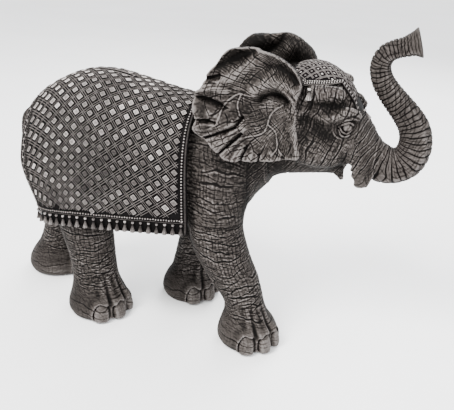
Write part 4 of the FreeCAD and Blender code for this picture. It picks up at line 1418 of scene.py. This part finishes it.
def make_tassels(drape):
    """The bells that hang on each side of the blanket, over its plain hem."""
    parts = Parts()
    rng = np.random.default_rng(SEED + 1)
    for x in spread_out(BLANKET_LOW + 5, BLANKET_HIGH - 5, TASSELS):
        for side in (-1, 1):
            reach = float(drape.reach(x))
            ends = side * np.array([reach - 13.6, reach - 0.6])
            top, tip = drape.at(np.array([x, x]), ends, np.array([1.4, 2.2]))
            outer = drape.up(np.array([x]), side * np.array([reach - 7]))[0]
            length = np.linalg.norm(tip - top)
            put_tassel(parts, top, unit(tip - top), outer, length * rng.uniform(0.96, 1.03),
                       2.55 * rng.uniform(0.92, 1.05), rng.uniform(0.74, 0.95))
    parts.make("blanket_tassels", SILVER, "resin_silvered")


CAP_LOW, CAP_HIGH = 104.0, 180.0
CAP_EDGE = ((104, 318), (122, 313), (125, 314), (140, 315), (157, 317), (164, 309),
            (172, 298), (180, 282))


def make_cap():
    """The forehead cap: a lattice cloth over the crown, with a beaded border."""
    raised = [(x, top + 2.2, bottom, wide + 2.2) for x, top, bottom, wide in HEAD]
    edge_x, edge_z = np.array(CAP_EDGE, float).T
    drape = Drape(raised, 2.25, CAP_LOW, CAP_HIGH, lambda x: float(np.interp(x, edge_x, edge_z)))
    parts = Parts()

    def inside(x, v, margin):
        good = (x > CAP_LOW + 3 + margin) & (x < CAP_HIGH - 6 - margin)
        return good & (drape.reach(x) - np.abs(v) > 6.5 + margin)

    def tone(x, v):
        return np.where(inside(x, v, -1), 0.0, 0.05)

    sheet(parts, drape, np.linspace(CAP_LOW, CAP_HIGH - 0.5, 60), np.linspace(-1, 1, 81), 3.4, tone)
    lattice(parts, drape, inside, pitch=7.8, stud=1.05, cord=0.62, gap=0.60, seed=SEED + 2)
    x = np.linspace(CAP_LOW + 1, CAP_HIGH - 1.5, 90)
    bx = np.linspace(CAP_LOW + 1, CAP_HIGH - 2, 32)
    for side in (-1, 1):
        for inset, width in ((0.7, 0.9), (6.0, 0.45)):
            keep = drape.reach(x) > inset + 0.5
            vs = side * (drape.reach(x[keep]) - inset)
            put_cord(parts, drape, x[keep], vs, width, 0.2, shade=0.8)
        for inset in (2.8, 4.9):
            keep = drape.reach(bx) > inset + 0.5
            put_beads(parts, drape, bx[keep], side * (drape.reach(bx[keep]) - inset), 0.95, 0.4)
    parts.make("forehead_cap", SILVER, "resin_silvered")
    bells = Parts()
    for side in (-1, 1):
        put_tassel(bells, np.array([128.5, side * 50.5, 314.5]), np.array([0, side * 0.05, -1.0]),
                   np.array([0, side * 1.0, 0]), 12.5, 2.9)
    slope = np.array([0.50, 0, -0.866])
    put_tassel(bells, np.array([182.0, 0, 288.0]), slope, np.array([0.866, 0, 0.5]), 12.0, 2.7)
    bells.make("cap_tassels", SILVER, "resin_silvered")


# ---------------------------------------------------------------- stopper and pads
def turned(centre, profile, around):
    """Points and faces of a turned piece about the vertical through centre, from
    (radius, z) points."""
    turn = full_turn(around)
    rows = [np.stack([centre[0] + r * np.cos(turn), centre[1] + r * np.sin(turn),
                      np.full(around, z)], axis=1) for r, z in profile]
    ends = [[(*centre, profile[0][1])], [(*centre, profile[-1][1])]]
    return outward(np.concatenate(rows + ends), ring_faces(len(profile), around))


def make_stopper():
    """The stopper: a ribbed plug over a flange, with a pull knob below."""
    low, high = cad_box("stopper")
    centre = ((low[0] + high[0]) / 2, 0.0)
    flange = (high[0] - low[0]) / 2
    top, seat = high[2], high[2] - 14.0
    tab_top = seat - 3.0
    profile = ((4.0, low[2]), (5.4, low[2] + 0.3), (6.0, low[2] + 1.2), (5.6, low[2] + 3.0),
               (4.6, tab_top - 2.0), (5.6, tab_top - 0.3), (flange - 1.2, tab_top),
               (flange - 0.2, tab_top + 0.5), (flange, tab_top + 1.4),
               (flange - 0.2, seat - 0.4), (flange - 1.0, seat - 0.05),
               (18.4, seat - 0.05), (17.7, seat + 0.5), (17.5, seat + 3.0), (16.9, seat + 3.4),
               (17.4, seat + 4.0), (17.2, seat + 7.0), (16.6, seat + 7.4), (17.0, seat + 8.0),
               (16.7, top - 1.2), (15.8, top - 0.2), (14.6, top))
    plug = Parts()
    plug.put(*turned(centre, profile, 96), 0.5)
    plug.make("stopper", black_rubber(), "rubber", body=STOPPER)


PAD_R = 31.0


def make_pads():
    """A felt disc under each foot."""
    parts = Parts()
    for sections in LEGS.values():
        _, x, y, _ = sections[0]
        profile = ((PAD_R - 0.6, 0.0), (PAD_R, 0.5), (PAD_R, SOLE_Z - 0.3), (PAD_R - 0.5, SOLE_Z + 0.2))
        parts.put(*turned((x, y), profile, 72), 0.5)
    parts.make("foot_pads", felt(), "felt")


# ---------------------------------------------------------------- the studio
def make_floor():
    mesh = bpy.data.meshes.new("floor")
    half = 30.0
    corners = [(-half, -half, 0), (half, -half, 0), (half, half, 0), (-half, half, 0)]
    mesh.from_pydata(corners, [], [(0, 1, 2, 3)])
    floor = bpy.data.objects.new("floor", mesh)
    bpy.context.scene.collection.objects.link(floor)
    n = Nodes("pale_floor")
    colour = n.ramp(n.speckle(3, 2), ((0.3, (0.84, 0.845, 0.845)), (0.8, (0.89, 0.895, 0.90))))
    mesh.materials.append(n.set(Base_Color=colour, Roughness=0.55))


def area_light(name, place, target, size, power, colour=(1, 1, 1)):
    data = bpy.data.lights.new(name, "AREA")
    data.shape, data.size, data.energy, data.color = "DISK", size, power, colour
    light = bpy.data.objects.new(name, data)
    bpy.context.scene.collection.objects.link(light)
    light.location = place
    light.rotation_mode = "QUATERNION"
    light.rotation_quaternion = (Vector(target) - Vector(place)).to_track_quat("-Z", "Y")


def make_studio():
    make_floor()
    area_light("key", (-0.55, -1.0, 1.5), (0, 0, 0.2), 0.8, 84, (1.0, 0.99, 0.97))
    area_light("fill", (1.3, -1.0, 0.7), (0.05, 0, 0.2), 1.1, 22, (0.97, 0.98, 1.0))
    area_light("back", (0.1, 1.4, 1.3), (0, 0, 0.25), 1.2, 44)
    world = bpy.data.worlds.new("studio")
    world.use_nodes = True
    background = world.node_tree.nodes["Background"]
    background.inputs[0].default_value = (0.98, 0.985, 1.0, 1)
    background.inputs[1].default_value = 2.4
    bpy.context.scene.world = world


def make_camera():
    """The camera stands to the right of the animal and a little forward, looking down."""
    camera = bpy.data.objects.new("camera", bpy.data.cameras.new("camera"))
    bpy.context.scene.collection.objects.link(camera)
    right, up, back = (0.9576, 0.2826, 0.0551), (-0.1571, 0.3524, 0.9226), (0.2414, -0.8921, 0.3819)
    turn = Matrix((right, up, back)).transposed()
    camera.matrix_world = Matrix.Translation((0.2312, -0.7205, 0.460)) @ turn.to_4x4()
    camera.data.sensor_width, camera.data.lens = 36.0, 53.44
    camera.data.clip_start, camera.data.clip_end = 0.01, 100.0
    bpy.context.scene.camera = camera


make_torso()
for leg in LEGS:
    make_leg(leg)
make_head()
make_trunk()
make_tail()
make_ears()
make_blanket()
make_cap()
make_stopper()
make_pads()
make_studio()
make_camera()
